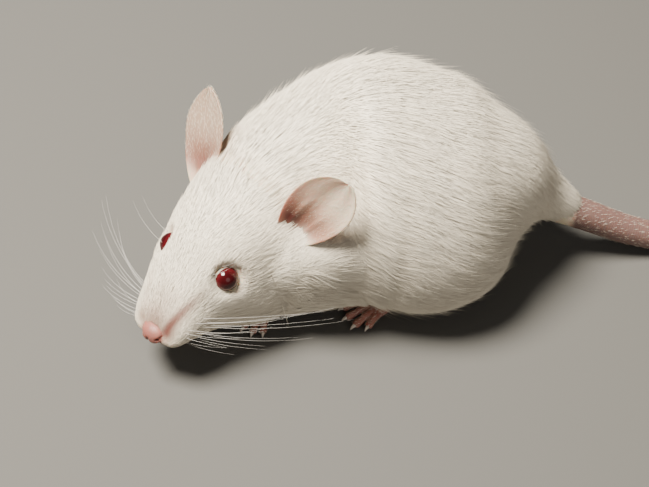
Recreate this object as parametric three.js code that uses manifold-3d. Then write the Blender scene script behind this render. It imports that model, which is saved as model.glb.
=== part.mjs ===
// A white pet mouse, life size, crouching with its head lowered and turned to its left.
// Millimetres, +Z up. The mouse faces -X, its left side is towards -Y, and it stands on Z = 0.
// The body is modelled whole along its spine, to the tips of the coat, and parted by thin cuts.
import * as THREE from "three";
import { ParametricGeometry } from "three/addons/geometries/ParametricGeometry.js";
import { mergeVertices } from "three/addons/utils/BufferGeometryUtils.js";
import Module from "manifold-3d";

const wasm = await Module();
wasm.setup();

// ---- Driving dimensions ----

const GAP = 0.3; // between neighbouring pieces
const SIDES = { left: 1, right: -1 };
const DEGREES = Math.PI / 180;

// The head's own frame: its origin midway between the eyes, and its angles in degrees
const HEAD = { x: -16.7, y: -4.3, z: 11.8, heading: 51.0, nod: 15.3, tilt: 3 };

// The body from the nose to the root of the tail. Each section has its middle, half its width,
// and its reach above and below that middle. Sections of the head are placed in its own frame.
const BODY = [
  { part: "nose", ahead: 11.7, rise: -1.6, wide: 2.6, above: 0.8, below: 1.1 },
  { part: "lips", ahead: 10.7, rise: -1.4, wide: 4.0, above: 1.2, below: 1.1 },
  { part: "muzzle", ahead: 8.7, rise: -1.2, wide: 4.9, above: 3.1, below: 1.5 },
  { part: "snout", ahead: 5.4, rise: -1.2, wide: 5.8, above: 5.1, below: 3.8 },
  { part: "eyes", ahead: 0.8, rise: -1.2, wide: 7.2, above: 7.0, below: 6.7 },
  { part: "cheeks", ahead: -4.0, rise: -1.2, wide: 8.6, above: 8.4, below: 8.1 },
  { part: "ears", ahead: -10.0, rise: -1.2, wide: 10.2, above: 8.8, below: 9.6 },
  { part: "nape", x: -5.2, y: 7.9, z: 14.4, wide: 12.1, above: 11.6, below: 11.6 },
  { part: "shoulders", x: 0.2, y: 10.3, z: 13.4, wide: 15.6, above: 16.8, below: 11.8 },
  { part: "ribs", x: 7.0, y: 10.9, z: 12.6, wide: 18.2, above: 18.5, below: 11.4 },
  { part: "belly", x: 14.5, y: 10.6, z: 12.4, wide: 17.3, above: 16.2, below: 11.2 },
  { part: "hips", x: 21.5, y: 10.4, z: 12.6, wide: 14.9, above: 15.1, below: 10.8 },
  { part: "rump", x: 26.7, y: 10.4, z: 12.8, wide: 9.0, above: 9.5, below: 8.0 },
  { part: "tail root", x: 31.5, y: 10.4, z: 11.2, wide: 4.3, above: 4.3, below: 4.0 },
  { part: "end", x: 35.5, y: 10.0, z: 8.6, wide: 2.3, above: 2.3, below: 2.3 },
];
const BODY_SQUARENESS = { above: 2.1, below: 2.5 }; // of a section's outline, 2 being an ellipse

// Swellings of the flesh on both sides, by station along the body, share of the half width
// and height over the middle, with how far they spread and how much they lift the surface
const SWELLS = [
  { station: 2.2, across: 0.9, height: -1.4, reach: 2.6, lift: 0.3 }, // whisker pad
  { station: 4.4, across: 0.7, height: -5.0, reach: 5.0, lift: 2.3 }, // jowl
];

// Cuts across the body, by station
const CUTS = { head: 6.2, neck: 7.4, trunk: 10.6 };

// Eyes and ears, placed in the head's frame by how far ahead, out to the side and up they are
const EYE = { ahead: 0.0, out: 4.9, rise: 2.0, radius: 1.8 };

// An ear is a cupped oval blade. Its ways towards the tip and out of the cup are given ahead,
// outwards and up, and the curls are how far the blade wraps round each way, in radians.
const EAR = {
  long: 12.0, wide: 4.3, thick: 0.55, sunk: 3.0,
  rootShare: 0.5, widest: 0.55, edge: 0.05, rootCurl: 1.7, tipCurl: 0.6,
  left: { ahead: -10.6, out: 9.6, rise: 4.2, towards: [-0.5, 0.54, 0.68], facing: [0.86, 0.24, 0.44] },
  right: { ahead: -11.2, out: 8.7, rise: 2.5, towards: [-0.74, 0.3, 0.61], facing: [0.67, 0.24, 0.7] },
};

// The bare tip of the nose, and the lower jaw from the chin to the throat
const NOSE = { ahead: 11.0, rise: -1.1, radius: 1.45, flat: 0.9 };
const JAW = [
  { ahead: 7.8, rise: -5.4, wide: 1.5, above: 1.2, below: 1.1 },
  { ahead: 5.8, rise: -6.0, wide: 2.6, above: 1.8, below: 1.5 },
  { ahead: 2.4, rise: -6.7, wide: 3.9, above: 2.2, below: 1.9 },
  { ahead: -1.6, rise: -7.2, wide: 4.8, above: 2.4, below: 2.2 },
];

// Limbs: the rounded muscle beside the body, then points with their radius down to the ankle
const ARMS = {
  left: {
    muscle: { x: 0.4, y: -1.9, z: 8.4, long: 8.0, wide: 5.2, high: 6.8, turn: 0.5, slope: 0.2 },
    shank: [
      { x: -2.5, y: -3.0, z: 7.0, r: 4.2 },
      { x: -6.0, y: -3.8, z: 5.6, r: 3.6 },
      { x: -8.2, y: -3.2, z: 3.6, r: 2.4 },
      { x: -8.4, y: -2.0, z: 1.9, r: 1.4 },
    ],
  },
  right: {
    muscle: { x: -7.0, y: 16.2, z: 8.4, long: 8.0, wide: 5.2, high: 6.8, turn: 0.5, slope: 0.2 },
    shank: [
      { x: -9.6, y: 15.4, z: 7.0, r: 4.2 },
      { x: -11.8, y: 13.4, z: 5.6, r: 3.6 },
      { x: -13.0, y: 11.8, z: 3.8, r: 2.5 },
      { x: -13.3, y: 10.5, z: 1.9, r: 1.4 },
    ],
  },
};
const THIGHS = {
  left: {
    muscle: { x: 14.4, y: -0.4, z: 9.4, long: 9.6, wide: 7.0, high: 8.8, turn: 0.05, slope: 0.3 },
    shank: [
      { x: 10.6, y: -3.0, z: 6.0, r: 3.6 },
      { x: 12.6, y: -1.6, z: 4.6, r: 3.2 },
      { x: 14.4, y: 0.6, z: 3.4, r: 2.5 },
      { x: 15.6, y: 2.6, z: 2.2, r: 1.9 },
    ],
  },
  right: {
    muscle: { x: 14.4, y: 20.4, z: 9.4, long: 9.6, wide: 7.0, high: 8.8, turn: -0.05, slope: 0.3 },
    shank: [
      { x: 10.6, y: 23.0, z: 6.0, r: 3.6 },
      { x: 12.6, y: 21.6, z: 4.6, r: 3.2 },
      { x: 14.4, y: 19.6, z: 3.4, r: 2.5 },
      { x: 15.6, y: 17.8, z: 2.2, r: 1.9 },
    ],
  },
};

// Feet: the sole from heel to toe bases, then the toes from the inner to the outer one, fanned
// apart by an angle in radians, and the length of their claws
const FOREFOOT = {
  long: 3.9, heelWide: 1.15, ballWide: 1.8, thick: 1.7, fan: 0.3,
  toes: [1.9, 2.7, 2.8, 2.1], toeRadius: 0.52, clawLong: 0.9,
};
const HINDFOOT = {
  long: 11.0, heelWide: 1.4, ballWide: 2.4, thick: 2.1, fan: 0.22,
  toes: [2.4, 4.0, 4.4, 4.2, 2.8], toeRadius: 0.6, clawLong: 1.1,
};
const CLAW_RADIUS = 0.34;

// Where the heels stand, and how far the feet turn from straight ahead towards the left
const FORE_STANDS = {
  left: { x: -8.0, y: -1.4, turn: 1.05 },
  right: { x: -13.0, y: 10.2, turn: 0.2 },
};
const HIND_STANDS = {
  left: { x: 15.0, y: 2.6, turn: 0.53 },
  right: { x: 15.0, y: 18.0, turn: -0.53 },
};

// The tail, from inside the rump down to the floor and along it to its tip
const TAIL = [
  { x: 32.0, y: 10.0, z: 9.6, r: 2.5 },
  { x: 38.0, y: 9.8, z: 7.0, r: 2.35 },
  { x: 45.0, y: 9.5, z: 3.9, r: 2.2 },
  { x: 53.0, y: 9.4, z: 1.9, r: 2.0 },
  { x: 63.0, y: 9.9, z: 1.6, r: 1.75 },
  { x: 74.0, y: 11.4, z: 1.32, r: 1.45 },
  { x: 85.0, y: 14.2, z: 1.03, r: 1.15 },
  { x: 95.0, y: 18.2, z: 0.75, r: 0.85 },
  { x: 103.0, y: 22.8, z: 0.47, r: 0.55 },
];
const TAIL_LENGTHS = 4;

// ---- Helpers ----

const vector = ({ x, y, z }) => new THREE.Vector3(x, y, z);
const xyz = ({ x, y, z }) => ({ x, y, z });

// A sine or cosine squared off towards a rounded oblong
const outline = (trig, squareness) => Math.sign(trig) * Math.abs(trig) ** (2 / squareness);

// Share of the full size at a share of the way in from a rounded end
const roundEnds = (near) => Math.sqrt(Math.max(0, 1 - (1 - near) ** 2));

// A closed geometry's solid, with shared corners merged and collapsed faces dropped
function solidOf(geometry) {
  const bare = new THREE.BufferGeometry();
  bare.setAttribute("position", geometry.getAttribute("position").clone());
  bare.setIndex(geometry.index);
  const merged = mergeVertices(bare, 1e-4);
  const corners = merged.index.array;
  const kept = [];
  for (let i = 0; i < corners.length; i += 3) {
    const [a, b, c] = corners.slice(i, i + 3);
    if (a !== b && b !== c && c !== a) kept.push(a, b, c);
  }
  return new wasm.Manifold(
    new wasm.Mesh({
      numProp: 3,
      vertProperties: merged.getAttribute("position").array,
      triVerts: new Uint32Array(kept),
    }),
  );
}

function geometryOf(solid) {
  const { vertProperties, triVerts } = solid.getMesh();
  const geometry = new THREE.BufferGeometry();
  geometry.setAttribute("position", new THREE.BufferAttribute(vertProperties, 3));
  geometry.setIndex(new THREE.BufferAttribute(triVerts, 1));
  geometry.computeVertexNormals();
  return geometry;
}

const joined = (solids) => solids.reduce((all, next) => all.add(next));

// The largest of the separate bits left by a cut
const largest = (solid) => solid.decompose().reduce((a, b) => (a.volume() > b.volume() ? a : b));

// A smooth line through sections, giving the middle, the size and the directions at a station
function spine(sections, tilt = () => 0) {
  const last = sections.length - 1;
  const smooth = (points) => new THREE.CatmullRomCurve3(points, false, "catmullrom");
  const middles = smooth(sections.map(vector));
  const sizes = smooth(
    sections.map(({ r, wide = r, above = r, below = r }) => new THREE.Vector3(wide, above, below)),
  );
  return (station) => {
    const middle = middles.getPoint(station / last);
    const size = sizes.getPoint(station / last);
    const ahead = middles.getTangent(station / last).negate();
    const left = new THREE.Vector3(0, 0, 1).cross(ahead).normalize();
    left.applyAxisAngle(ahead, tilt(station));
    const up = ahead.clone().cross(left);
    return { middle, wide: size.x, above: size.y, below: size.z, ahead, left, up };
  };
}

// A closed body along a line, from one station to another, with both ends rounded
function loft(line, options) {
  const { from, to, rings, around, round = 0.5, grow = 0, swells = [] } = options;
  const { squareness = { above: 2, below: 2 } } = options;
  const surface = (u, v, target) => {
    const eased = (1 - Math.cos(Math.PI * v)) / 2; // crowds the rings towards the ends
    const station = from + (to - from) * (0.5 * eased + 0.5 * v);
    const near = Math.min(1, (station - from) / round, (to - station) / round);
    const cap = roundEnds(near);
    const { middle, wide, above, below, ahead, left, up } = line(station);
    const endwise = grow * (1 - near) * (station - from < to - station ? 1 : -1);
    const half = u > 0.5 ? "above" : "below";
    const across = outline(Math.cos(2 * Math.PI * u), squareness[half]) * (wide + grow) * cap;
    const share = outline(-Math.sin(2 * Math.PI * u), squareness[half]);
    const rise = share * ((share > 0 ? above : below) + grow) * cap;
    target.copy(middle).addScaledVector(left, across).addScaledVector(up, rise)
      .addScaledVector(ahead, endwise);
    const out = target.clone().sub(middle).normalize();
    for (const { place, reach, lift } of swells) {
      const off = target.distanceTo(place) / reach;
      target.addScaledVector(out, lift * Math.exp(-off * off));
    }
  };
  return solidOf(new ParametricGeometry(surface, around, rings));
}

// ---- Head and body ----

const headTurn = new THREE.Matrix4().makeRotationZ(HEAD.heading * DEGREES)
  .multiply(new THREE.Matrix4().makeRotationY(-HEAD.nod * DEGREES))
  .multiply(new THREE.Matrix4().makeRotationX(-HEAD.tilt * DEGREES));

// A direction in the head's frame, and a point of the head
const headWay = ([ahead, out, rise]) =>
  new THREE.Vector3(-ahead, -out, rise).applyMatrix4(headTurn);
const headPoint = (ahead, out, rise) => headWay([ahead, out, rise]).add(vector(HEAD));
const placed = (section) =>
  "ahead" in section ? { ...section, ...xyz(headPoint(section.ahead, 0, section.rise)) } : section;

const nape = BODY.findIndex(({ part }) => part === "nape");
const headTilt = (station) => HEAD.tilt * DEGREES * THREE.MathUtils.clamp(nape - station, 0, 1);
const bodyLine = spine(BODY.map(placed), headTilt);
const swells = Object.values(SIDES).flatMap((side) =>
  SWELLS.map(({ station, across, height, reach, lift }) => {
    const { middle, wide, left, up } = bodyLine(station);
    const place = middle.addScaledVector(left, side * across * wide).addScaledVector(up, height);
    return { place, reach, lift };
  }),
);
const bodyWith = (grow) => loft(bodyLine, {
  from: 0, to: BODY.length - 1, rings: 30, around: 24, squareness: BODY_SQUARENESS, grow, swells,
});

// The bare tip of the nose
function noseTip(grow = 0) {
  const { ahead, rise, radius, flat } = NOSE;
  const place = headPoint(ahead, 0, rise);
  const ball = new THREE.SphereGeometry(radius + grow, 10, 7).scale(1, 1, flat);
  return solidOf(ball.applyMatrix4(headTurn).translate(place.x, place.y, place.z));
}

const jawLine = spine(JAW.map(placed));
const jaw = (grow = 0) => loft(jawLine, { from: 0, to: 3, rings: 7, around: 12, round: 0.8, grow });

function eyeball(side, grow = 0) {
  const { ahead, out, rise, radius } = EYE;
  const place = headPoint(ahead, side * out, rise);
  const ball = new THREE.SphereGeometry(radius + grow, 12, 8);
  return solidOf(ball.translate(place.x, place.y, place.z));
}

// ---- Ears ----

function ear(name, side) {
  const { long, wide, thick, sunk, rootShare, widest, edge, rootCurl, tipCurl } = EAR;
  const { ahead, out, rise, towards, facing } = EAR[name];
  const mirrored = ([forward, outward, upward]) => headWay([forward, side * outward, upward]);
  const root = headPoint(ahead, side * out, rise);
  const axis = mirrored(towards).normalize();
  const opening = mirrored(facing);
  opening.addScaledVector(axis, -opening.dot(axis)).normalize();
  const edgeways = axis.clone().cross(opening);
  const blade = (u, v, target) => {
    const along = 1 - (1 - v) ** 1.6; // crowds the rings towards the round tip
    const width = along < widest
      ? rootShare + (1 - rootShare) * Math.sin((0.5 * Math.PI * along) / widest)
      : Math.sqrt(Math.max(0, 1 - ((along - widest) / (1 - widest)) ** 2));
    const half = Math.max(0.01, wide * width * Math.min(1, v / edge));
    const cap = roundEnds(Math.min(1, v / edge, (1 - v) / edge));
    const curl = rootCurl + (tipCurl - rootCurl) * Math.min(1, along * 1.6);
    const radius = half / Math.sin(Math.min(curl, Math.PI / 2));
    const turn = curl * outline(Math.cos(2 * Math.PI * u), 3);
    const reach = radius + outline(Math.sin(2 * Math.PI * u), 3) * 0.5 * thick * cap;
    target.copy(root)
      .addScaledVector(axis, (long + sunk) * along - sunk)
      .addScaledVector(edgeways, reach * Math.sin(turn))
      .addScaledVector(opening, radius * (1 + Math.cos(curl)) / 2 - reach * Math.cos(turn));
  };
  return solidOf(new ParametricGeometry(blade, 15, 8));
}

// ---- Limbs ----

function limb({ muscle, shank }, grow = 0) {
  const { x, y, z, long, wide, high, turn, slope } = muscle;
  const ball = new THREE.SphereGeometry(1, 13, 8)
    .scale(long + grow, wide + grow, high + grow)
    .rotateY(slope).rotateZ(turn).translate(x, y, z);
  const lower = loft(spine(shank), { from: 0, to: 3, rings: 7, around: 10, grow, round: 0.4 });
  return solidOf(ball).add(lower);
}

// ---- Feet ----

// A claw, curving down from the end of a toe as it narrows
function claw(place, way, long) {
  const step = (share, drop, narrow) => {
    const { x, y, z } = place.clone().addScaledVector(way, long * share);
    return { x, y, z: z - drop, r: CLAW_RADIUS * narrow };
  };
  const line = spine([step(-0.4, 0, 1), step(0.3, 0, 0.8), step(0.8, 0.12, 0.65), step(1.1, 0.3, 0.5)]);
  return loft(line, { from: 0, to: 3, rings: 2, around: 5, round: 0.3 });
}

function foot(shape, stand, side) {
  const { long, heelWide, ballWide, thick, fan, toes, toeRadius, clawLong } = shape;
  const onFloor = (ahead, out, z) => {
    const cos = Math.cos(stand.turn);
    const sin = Math.sin(stand.turn);
    return { x: stand.x - ahead * cos + out * sin, y: stand.y - ahead * sin - out * cos, z };
  };
  // A section of the sole, reaching a little below the floor, where it is cut flat
  const pad = (ahead, wide, high) =>
    ({ ...onFloor(ahead, 0, 0.42 * high), wide, above: 0.58 * high, below: 0.5 * high });
  const sole = spine([
    pad(long, ballWide * 0.9, thick * 0.72),
    pad(long * 0.8, ballWide, thick * 0.86),
    pad(long * 0.4, heelWide, thick * 0.95),
    pad(-heelWide, heelWide, thick),
  ]);
  const pieces = [loft(sole, { from: 0, to: 3, rings: 6, around: 10, round: 0.5 })];
  const middle = (toes.length - 1) / 2;
  toes.forEach((toeLong, i) => {
    const angle = side * (i - middle) * fan;
    const base = (side * (i - middle) * (ballWide - toeRadius)) / middle;
    const step = (reach, height, narrow) => {
      const ahead = long * 0.86 + reach * Math.cos(angle);
      const out = base + reach * Math.sin(angle);
      return { ...onFloor(ahead, out, height * toeRadius), r: narrow * toeRadius };
    };
    const joints = [
      step(toeLong, 0.9, 0.82),
      step(toeLong * 0.62, 1.35, 0.9),
      step(toeLong * 0.25, 1.2, 1),
      step(-toeRadius, 1.1, 1),
    ];
    pieces.push(loft(spine(joints), { from: 0, to: 3, rings: 4, around: 5, round: 0.35 }));
    const end = vector(step(toeLong, 1, 1));
    const way = end.clone().sub(vector(step(0, 1, 1))).normalize();
    pieces.push(claw(end, way, clawLong));
  });
  return joined(pieces);
}

// The same foot a gap larger all over, to cut its neighbours with
const grownFoot = (shape) => ({
  ...shape,
  heelWide: shape.heelWide + GAP,
  ballWide: shape.ballWide + GAP,
  thick: shape.thick + 2 * GAP,
  toeRadius: shape.toeRadius + GAP,
});

// ---- Tail ----

const tailLine = spine(TAIL);
const tailWith = (grow) => loft(tailLine, {
  from: 0, to: TAIL.length - 1, rings: 22, around: 10, round: 0.2, grow,
});

// ---- Pieces ----

const fur = { color: 0xe9e3da, roughness: 0.85 };
const bareSkin = { color: 0xd9a79a, roughness: 0.6 };
const earSkin = { color: 0xdcbfae, roughness: 0.6 };
const eyeRed = { color: 0x5c0f16, roughness: 0.15 };

const mouse = new THREE.Group();

// Adds a piece, cut flat where it meets the floor
function show(name, solid, look) {
  const geometry = geometryOf(largest(solid.trimByPlane([0, 0, 1], 0)));
  const mesh = new THREE.Mesh(geometry, new THREE.MeshStandardMaterial(look));
  mesh.name = name;
  mouse.add(mesh);
}

// The part of a solid between two cuts across its line
function between(solid, line, from, to) {
  const trim = (piece, station, sign) => {
    const { middle, ahead } = line(station);
    const way = ahead.multiplyScalar(sign);
    return piece.trimByPlane(way.toArray(), way.dot(middle) + GAP / 2);
  };
  const front = from === undefined ? solid : trim(solid, from, -1);
  return to === undefined ? front : trim(front, to, 1);
}

show("nose", noseTip(), bareSkin);
show("lower_jaw", jaw(), fur);

let flesh = bodyWith(0).subtract(noseTip(GAP)).subtract(jaw(GAP)).subtract(tailWith(GAP));
for (const [name, side] of Object.entries(SIDES)) {
  const arm = ARMS[name];
  const thigh = THIGHS[name];
  const foreGap = foot(grownFoot(FOREFOOT), FORE_STANDS[name], side);
  const hindGap = foot(grownFoot(HINDFOOT), HIND_STANDS[name], side);
  show("ear_" + name, ear(name, side).subtract(bodyWith(GAP)), earSkin);
  show("eye_" + name, eyeball(side), eyeRed);
  show("foreleg_" + name, limb(arm).subtract(foreGap).subtract(limb(thigh, GAP)), fur);
  show("hindleg_" + name, limb(thigh).subtract(hindGap), fur);
  show("forefoot_" + name, foot(FOREFOOT, FORE_STANDS[name], side), bareSkin);
  show("hindfoot_" + name, foot(HINDFOOT, HIND_STANDS[name], side), bareSkin);
  const cutters = [eyeball(side, GAP), limb(arm, 1.3 * GAP), limb(thigh, GAP), foreGap, hindGap];
  for (const cutter of cutters) {
    flesh = flesh.subtract(cutter);
  }
}
show("head", between(flesh, bodyLine, undefined, CUTS.head), fur);
show("neck", between(flesh, bodyLine, CUTS.head, CUTS.neck), fur);
show("trunk", between(flesh, bodyLine, CUTS.neck, CUTS.trunk), fur);
show("rump", between(flesh, bodyLine, CUTS.trunk), fur);

const tailCut = (i) => (i % TAIL_LENGTHS ? ((TAIL.length - 1) * i) / TAIL_LENGTHS : undefined);
for (let i = 0; i < TAIL_LENGTHS; i++) {
  show("tail_" + (i + 1), between(tailWith(0), tailLine, tailCut(i), tailCut(i + 1)), bareSkin);
}

// The origin is under the middle of the whole mouse, at floor level
const box = new THREE.Box3().setFromObject(mouse);
const middleOfBox = box.getCenter(new THREE.Vector3());
mouse.position.set(-middleOfBox.x, -middleOfBox.y, -box.min.z);

export default mouse;
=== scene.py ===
import bpy
import numpy as np
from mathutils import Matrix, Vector


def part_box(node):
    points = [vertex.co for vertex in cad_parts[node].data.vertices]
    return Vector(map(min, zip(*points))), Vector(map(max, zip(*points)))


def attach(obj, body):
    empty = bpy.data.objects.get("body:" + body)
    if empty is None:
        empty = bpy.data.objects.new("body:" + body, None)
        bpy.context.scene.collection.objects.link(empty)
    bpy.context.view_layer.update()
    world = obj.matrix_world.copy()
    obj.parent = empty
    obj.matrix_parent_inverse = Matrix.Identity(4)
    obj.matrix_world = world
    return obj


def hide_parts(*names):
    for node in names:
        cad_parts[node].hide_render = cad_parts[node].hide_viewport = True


# A white pet mouse, head turned down to its left, tail trailing. Shapes are worked out in
# millimetres and put into meshes in metres.
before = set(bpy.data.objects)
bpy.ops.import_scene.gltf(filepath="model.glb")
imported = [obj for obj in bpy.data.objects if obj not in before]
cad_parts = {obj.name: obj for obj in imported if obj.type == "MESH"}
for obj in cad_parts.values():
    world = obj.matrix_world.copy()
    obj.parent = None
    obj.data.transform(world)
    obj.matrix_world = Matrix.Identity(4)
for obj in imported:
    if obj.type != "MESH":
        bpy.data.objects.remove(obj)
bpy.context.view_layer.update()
toMetres = 0.001
sides = {"left": 1, "right": -1}


def unit(v):
    return v / np.maximum(np.linalg.norm(v, axis=-1, keepdims=True), 1e-9)


def dot(a, b):
    return (a * b).sum(-1, keepdims=True)


# 0 below low, 1 above high, and an S between: 3t^2 - 2t^3
def smoothStep(x, low, high):
    t = np.clip((x - low) / (high - low), 0, 1)
    return t * t * (3 - 2 * t)


# a bell: e to the minus (x / width) squared
def bell(x, width):
    return np.exp(-(x / width) ** 2)


def lengthOf(v):
    return np.linalg.norm(v, axis=-1)


def distance(points, place):
    return lengthOf(points - np.asarray(place))


def circle(count):
    return np.linspace(0, 2 * np.pi, count, endpoint=False)


# the directions of a ball: cos v one way, sin v times the cosine and the sine of a across it
def ballWays(rows, around):
    v, a = np.linspace(0, np.pi, rows)[:, None], circle(around)[None]
    return np.stack([np.cos(v) + 0 * a, np.sin(v) * np.cos(a), np.sin(v) * np.sin(a)], -1)


# a sine or cosine raised to 2/n with its sign, which squares a circle off
def squared(trig, n):
    return np.sign(trig) * np.abs(trig) ** (2 / n)


# share of the full size along a line from 0 to last: a quarter circle at each end, 1 between
def capped(t, last, ends):
    near = np.minimum(1, np.minimum(t, last - t) / ends)
    return np.sqrt(np.clip(1 - (1 - near) ** 2, 0, 1))


# a cubic through every row of points, slopes half the step between neighbours; value and slope
def smoothLine(points, t):
    p = np.vstack([2 * points[0] - points[1], points, 2 * points[-1] - points[-2]])
    i = np.clip(np.floor(t).astype(int), 0, len(points) - 2)
    w = (t - i)[..., None]
    a, b, c, d = p[i], p[i + 1], p[i + 2], p[i + 3]
    s, e = (c - a) / 2, (d - b) / 2
    value = b + s * w + (3 * (c - b) - 2 * s - e) * w**2 + (2 * (b - c) + s + e) * w**3
    slope = s + 2 * (3 * (c - b) - 2 * s - e) * w + 3 * (2 * (b - c) + s + e) * w**2
    return value, slope


def turnAbout(axis, angle):
    c, s = np.cos(angle), np.sin(angle)
    return np.array({"x": [[1, 0, 0], [0, c, -s], [0, s, c]],
                     "y": [[c, 0, s], [0, 1, 0], [-s, 0, c]],
                     "z": [[c, -s, 0], [s, c, 0], [0, 0, 1]]}[axis])


# smooth random field of place: a sum of sines in random directions, about -1 to 1
def softNoise(points, size, seed):
    rng = np.random.default_rng(seed)
    waves = unit(rng.normal(size=(9, 3))) * rng.uniform(0.7, 1.5, (9, 1)) * 2 * np.pi / size
    return np.sin(points @ waves.T + rng.uniform(0, 7, 9)).sum(-1) / 4


# the middle of the head between the eyes, and its turn, dip and lean in degrees
headShape = {"at": [-16.7, -4.3, 11.8], "heading": 51.0, "nod": 15.3, "tilt": 3.0}
headTilt = np.radians(headShape["tilt"])
headAxes = (turnAbout("z", np.radians(headShape["heading"]))
            @ turnAbout("y", -np.radians(headShape["nod"])) @ turnAbout("x", -headTilt)
            @ np.diag([-1.0, -1.0, 1.0]))  # columns: ahead, out to the left, up


# a place on the head, given ahead, out to the left and up from its middle
def headPoint(place):
    return np.array(headShape["at"]) + np.asarray(place, float) @ headAxes.T


def toHead(points):
    return (points - headShape["at"]) @ headAxes


# the left eye's place on the head; the right eye mirrors it
eyeShape = {"at": [0.0, 4.9, 2.0], "radius": 1.78, "looks": [0.2, 0.75, 0.63], "cornea": 0.07,
            "bed": 0.44, "bedRing": [1.7, 2.7], "lidRing": 1.66, "lidLong": 0.05,
            "lidCorner": 0.05, "lidWide": 0.15, "lidHigh": 0.14}


# an eye's middle, the way it looks, and the ways ahead and up across that
def eyeAxes(side):
    flip = np.array([1, side, 1])
    place = headPoint(np.array(eyeShape["at"]) * flip)
    looks = headAxes @ unit(np.array(eyeShape["looks"]) * flip)
    fore = unit(headAxes[:, 0] - (headAxes[:, 0] @ looks) * looks)
    return place, looks, fore, np.cross(looks, fore)


# how far each point lies along the way an eye looks, and its offset from that line
def fromEye(points, side):
    place, looks, _, _ = eyeAxes(side)
    q = points - place
    deep = q @ looks
    return deep, q - deep[..., None] * looks


# the part's origin is under its middle; the left eye says how far that is from these numbers
eyeLow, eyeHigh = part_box("eye_left")
shift = np.array((eyeLow + eyeHigh) / 2) / toMetres - headPoint(eyeShape["at"])


# rows by columns of points, closed round the columns; ends become poles, or join for a ring
def gridFaces(rows, columns, ring=False):
    i, j = np.meshgrid(np.arange(rows if ring else rows - 1), np.arange(columns), indexing="ij")
    k, n = (j + 1) % columns, (i + 1) % rows
    return np.stack([i * columns + j, i * columns + k, n * columns + k, n * columns + j],
                    -1).reshape(-1, 4)


def shellOf(points, ring=False):
    rows, columns = points.shape[:2]
    if ring:
        return points.reshape(-1, 3), gridFaces(rows, columns, True), np.zeros((0, 3), int)
    body = points[1:-1]
    quads = gridFaces(rows - 2, columns)
    verts = np.vstack([body.reshape(-1, 3), points[0].mean(0), points[-1].mean(0)])
    j = np.arange(columns)
    k, last = (j + 1) % columns, (rows - 3) * columns
    first, end = len(verts) - 2, len(verts) - 1
    tris = np.vstack([np.stack([np.full(columns, first), k, j], -1),
                      np.stack([last + j, last + k, np.full(columns, end)], -1)])
    return verts, quads, tris


def volumeOf(verts, quads, tris):
    every = np.vstack([tris, quads[:, [0, 1, 2]], quads[:, [0, 2, 3]]])
    a, b, c = verts[every[:, 0]], verts[every[:, 1]], verts[every[:, 2]]
    return (a * np.cross(b, c)).sum() / 6


def placed(name, data):
    made = bpy.data.objects.new(name, data)
    bpy.context.scene.collection.objects.link(made)
    return made


# one mesh from closed grids, or from ready sets of points, quads and triangles
def meshObject(name, grids):
    verts, loops, sizes, base = [], [], [], 0
    for grid in grids:
        v, quads, tris = grid if isinstance(grid, tuple) else shellOf(grid)
        if volumeOf(v, quads, tris) < 0:
            quads, tris = quads[:, ::-1], tris[:, ::-1]
        verts.append(v)
        loops += [(quads + base).ravel(), (tris + base).ravel()]
        sizes += [np.full(len(quads), 4), np.full(len(tris), 3)]
        base += len(v)
    verts = (np.vstack(verts) + shift) * toMetres
    loops, sizes = np.concatenate(loops), np.concatenate(sizes)
    mesh = bpy.data.meshes.new(name)
    mesh.vertices.add(len(verts))
    mesh.vertices.foreach_set("co", verts.ravel())
    mesh.loops.add(len(loops))
    mesh.loops.foreach_set("vertex_index", loops.astype(np.int32))
    mesh.polygons.add(len(sizes))
    mesh.polygons.foreach_set("loop_start", (np.cumsum(sizes) - sizes).astype(np.int32))
    mesh.polygons.foreach_set("loop_total", sizes.astype(np.int32))
    mesh.polygons.foreach_set("use_smooth", np.full(len(sizes), True))
    mesh.update(calc_edges=True)
    return placed(name, mesh)


def pointsOf(made):
    flat = np.empty(len(made.data.vertices) * 3, np.float32)
    made.data.vertices.foreach_get("co", flat)
    return flat.reshape(-1, 3).astype(float) / toMetres - shift


# bakes an object's modifiers into its mesh
def settle(made):
    graph = bpy.context.evaluated_depsgraph_get()
    done = bpy.data.meshes.new_from_object(made.evaluated_get(graph))
    made.modifiers.clear()
    old, made.data = made.data, done
    bpy.data.meshes.remove(old)
    done.name = made.name
    return made


def combine(base, other, operation="UNION"):
    cut = base.modifiers.new("join", "BOOLEAN")
    cut.operation, cut.solver, cut.object = operation, "MANIFOLD", other
    settle(base)
    bpy.data.objects.remove(other)


def softened(made, passes):
    soften = made.modifiers.new("soften", "SMOOTH")
    soften.factor, soften.iterations = 0.5, passes
    return settle(made)


# overlapping shells melted into one by small cubes, then smoothed
def melted(name, grids, cube, passes=4):
    made = meshObject(name, grids)
    melt = made.modifiers.new("melt", "REMESH")
    melt.mode, melt.voxel_size = "VOXEL", cube * toMetres
    return softened(made, passes)


# sections are rows of x, y, z, wide, above, below and whatever follows
def lineAt(sections, t, tilt=0.0):
    value, slope = smoothLine(sections, t)
    ahead = -unit(slope[..., :3])
    left = unit(np.cross([0.0, 0.0, 1.0], ahead))
    up = np.cross(ahead, left)
    c, s = np.cos(tilt), np.sin(tilt)
    left, up = left * c + up * s, up * c - left * s
    return value, ahead, left, up


# a grid of points from places across and up at each row of a line
def spread(value, left, up, across, rise):
    return value[:, None, :3] + left[:, None] * across[..., None] + up[:, None] * rise[..., None]


# rows of x, y, z and a radius, as sections with that radius all round
def roundRows(rows):
    rows = np.asarray(rows)
    return np.column_stack([rows, rows[:, 3], rows[:, 3]])


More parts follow.
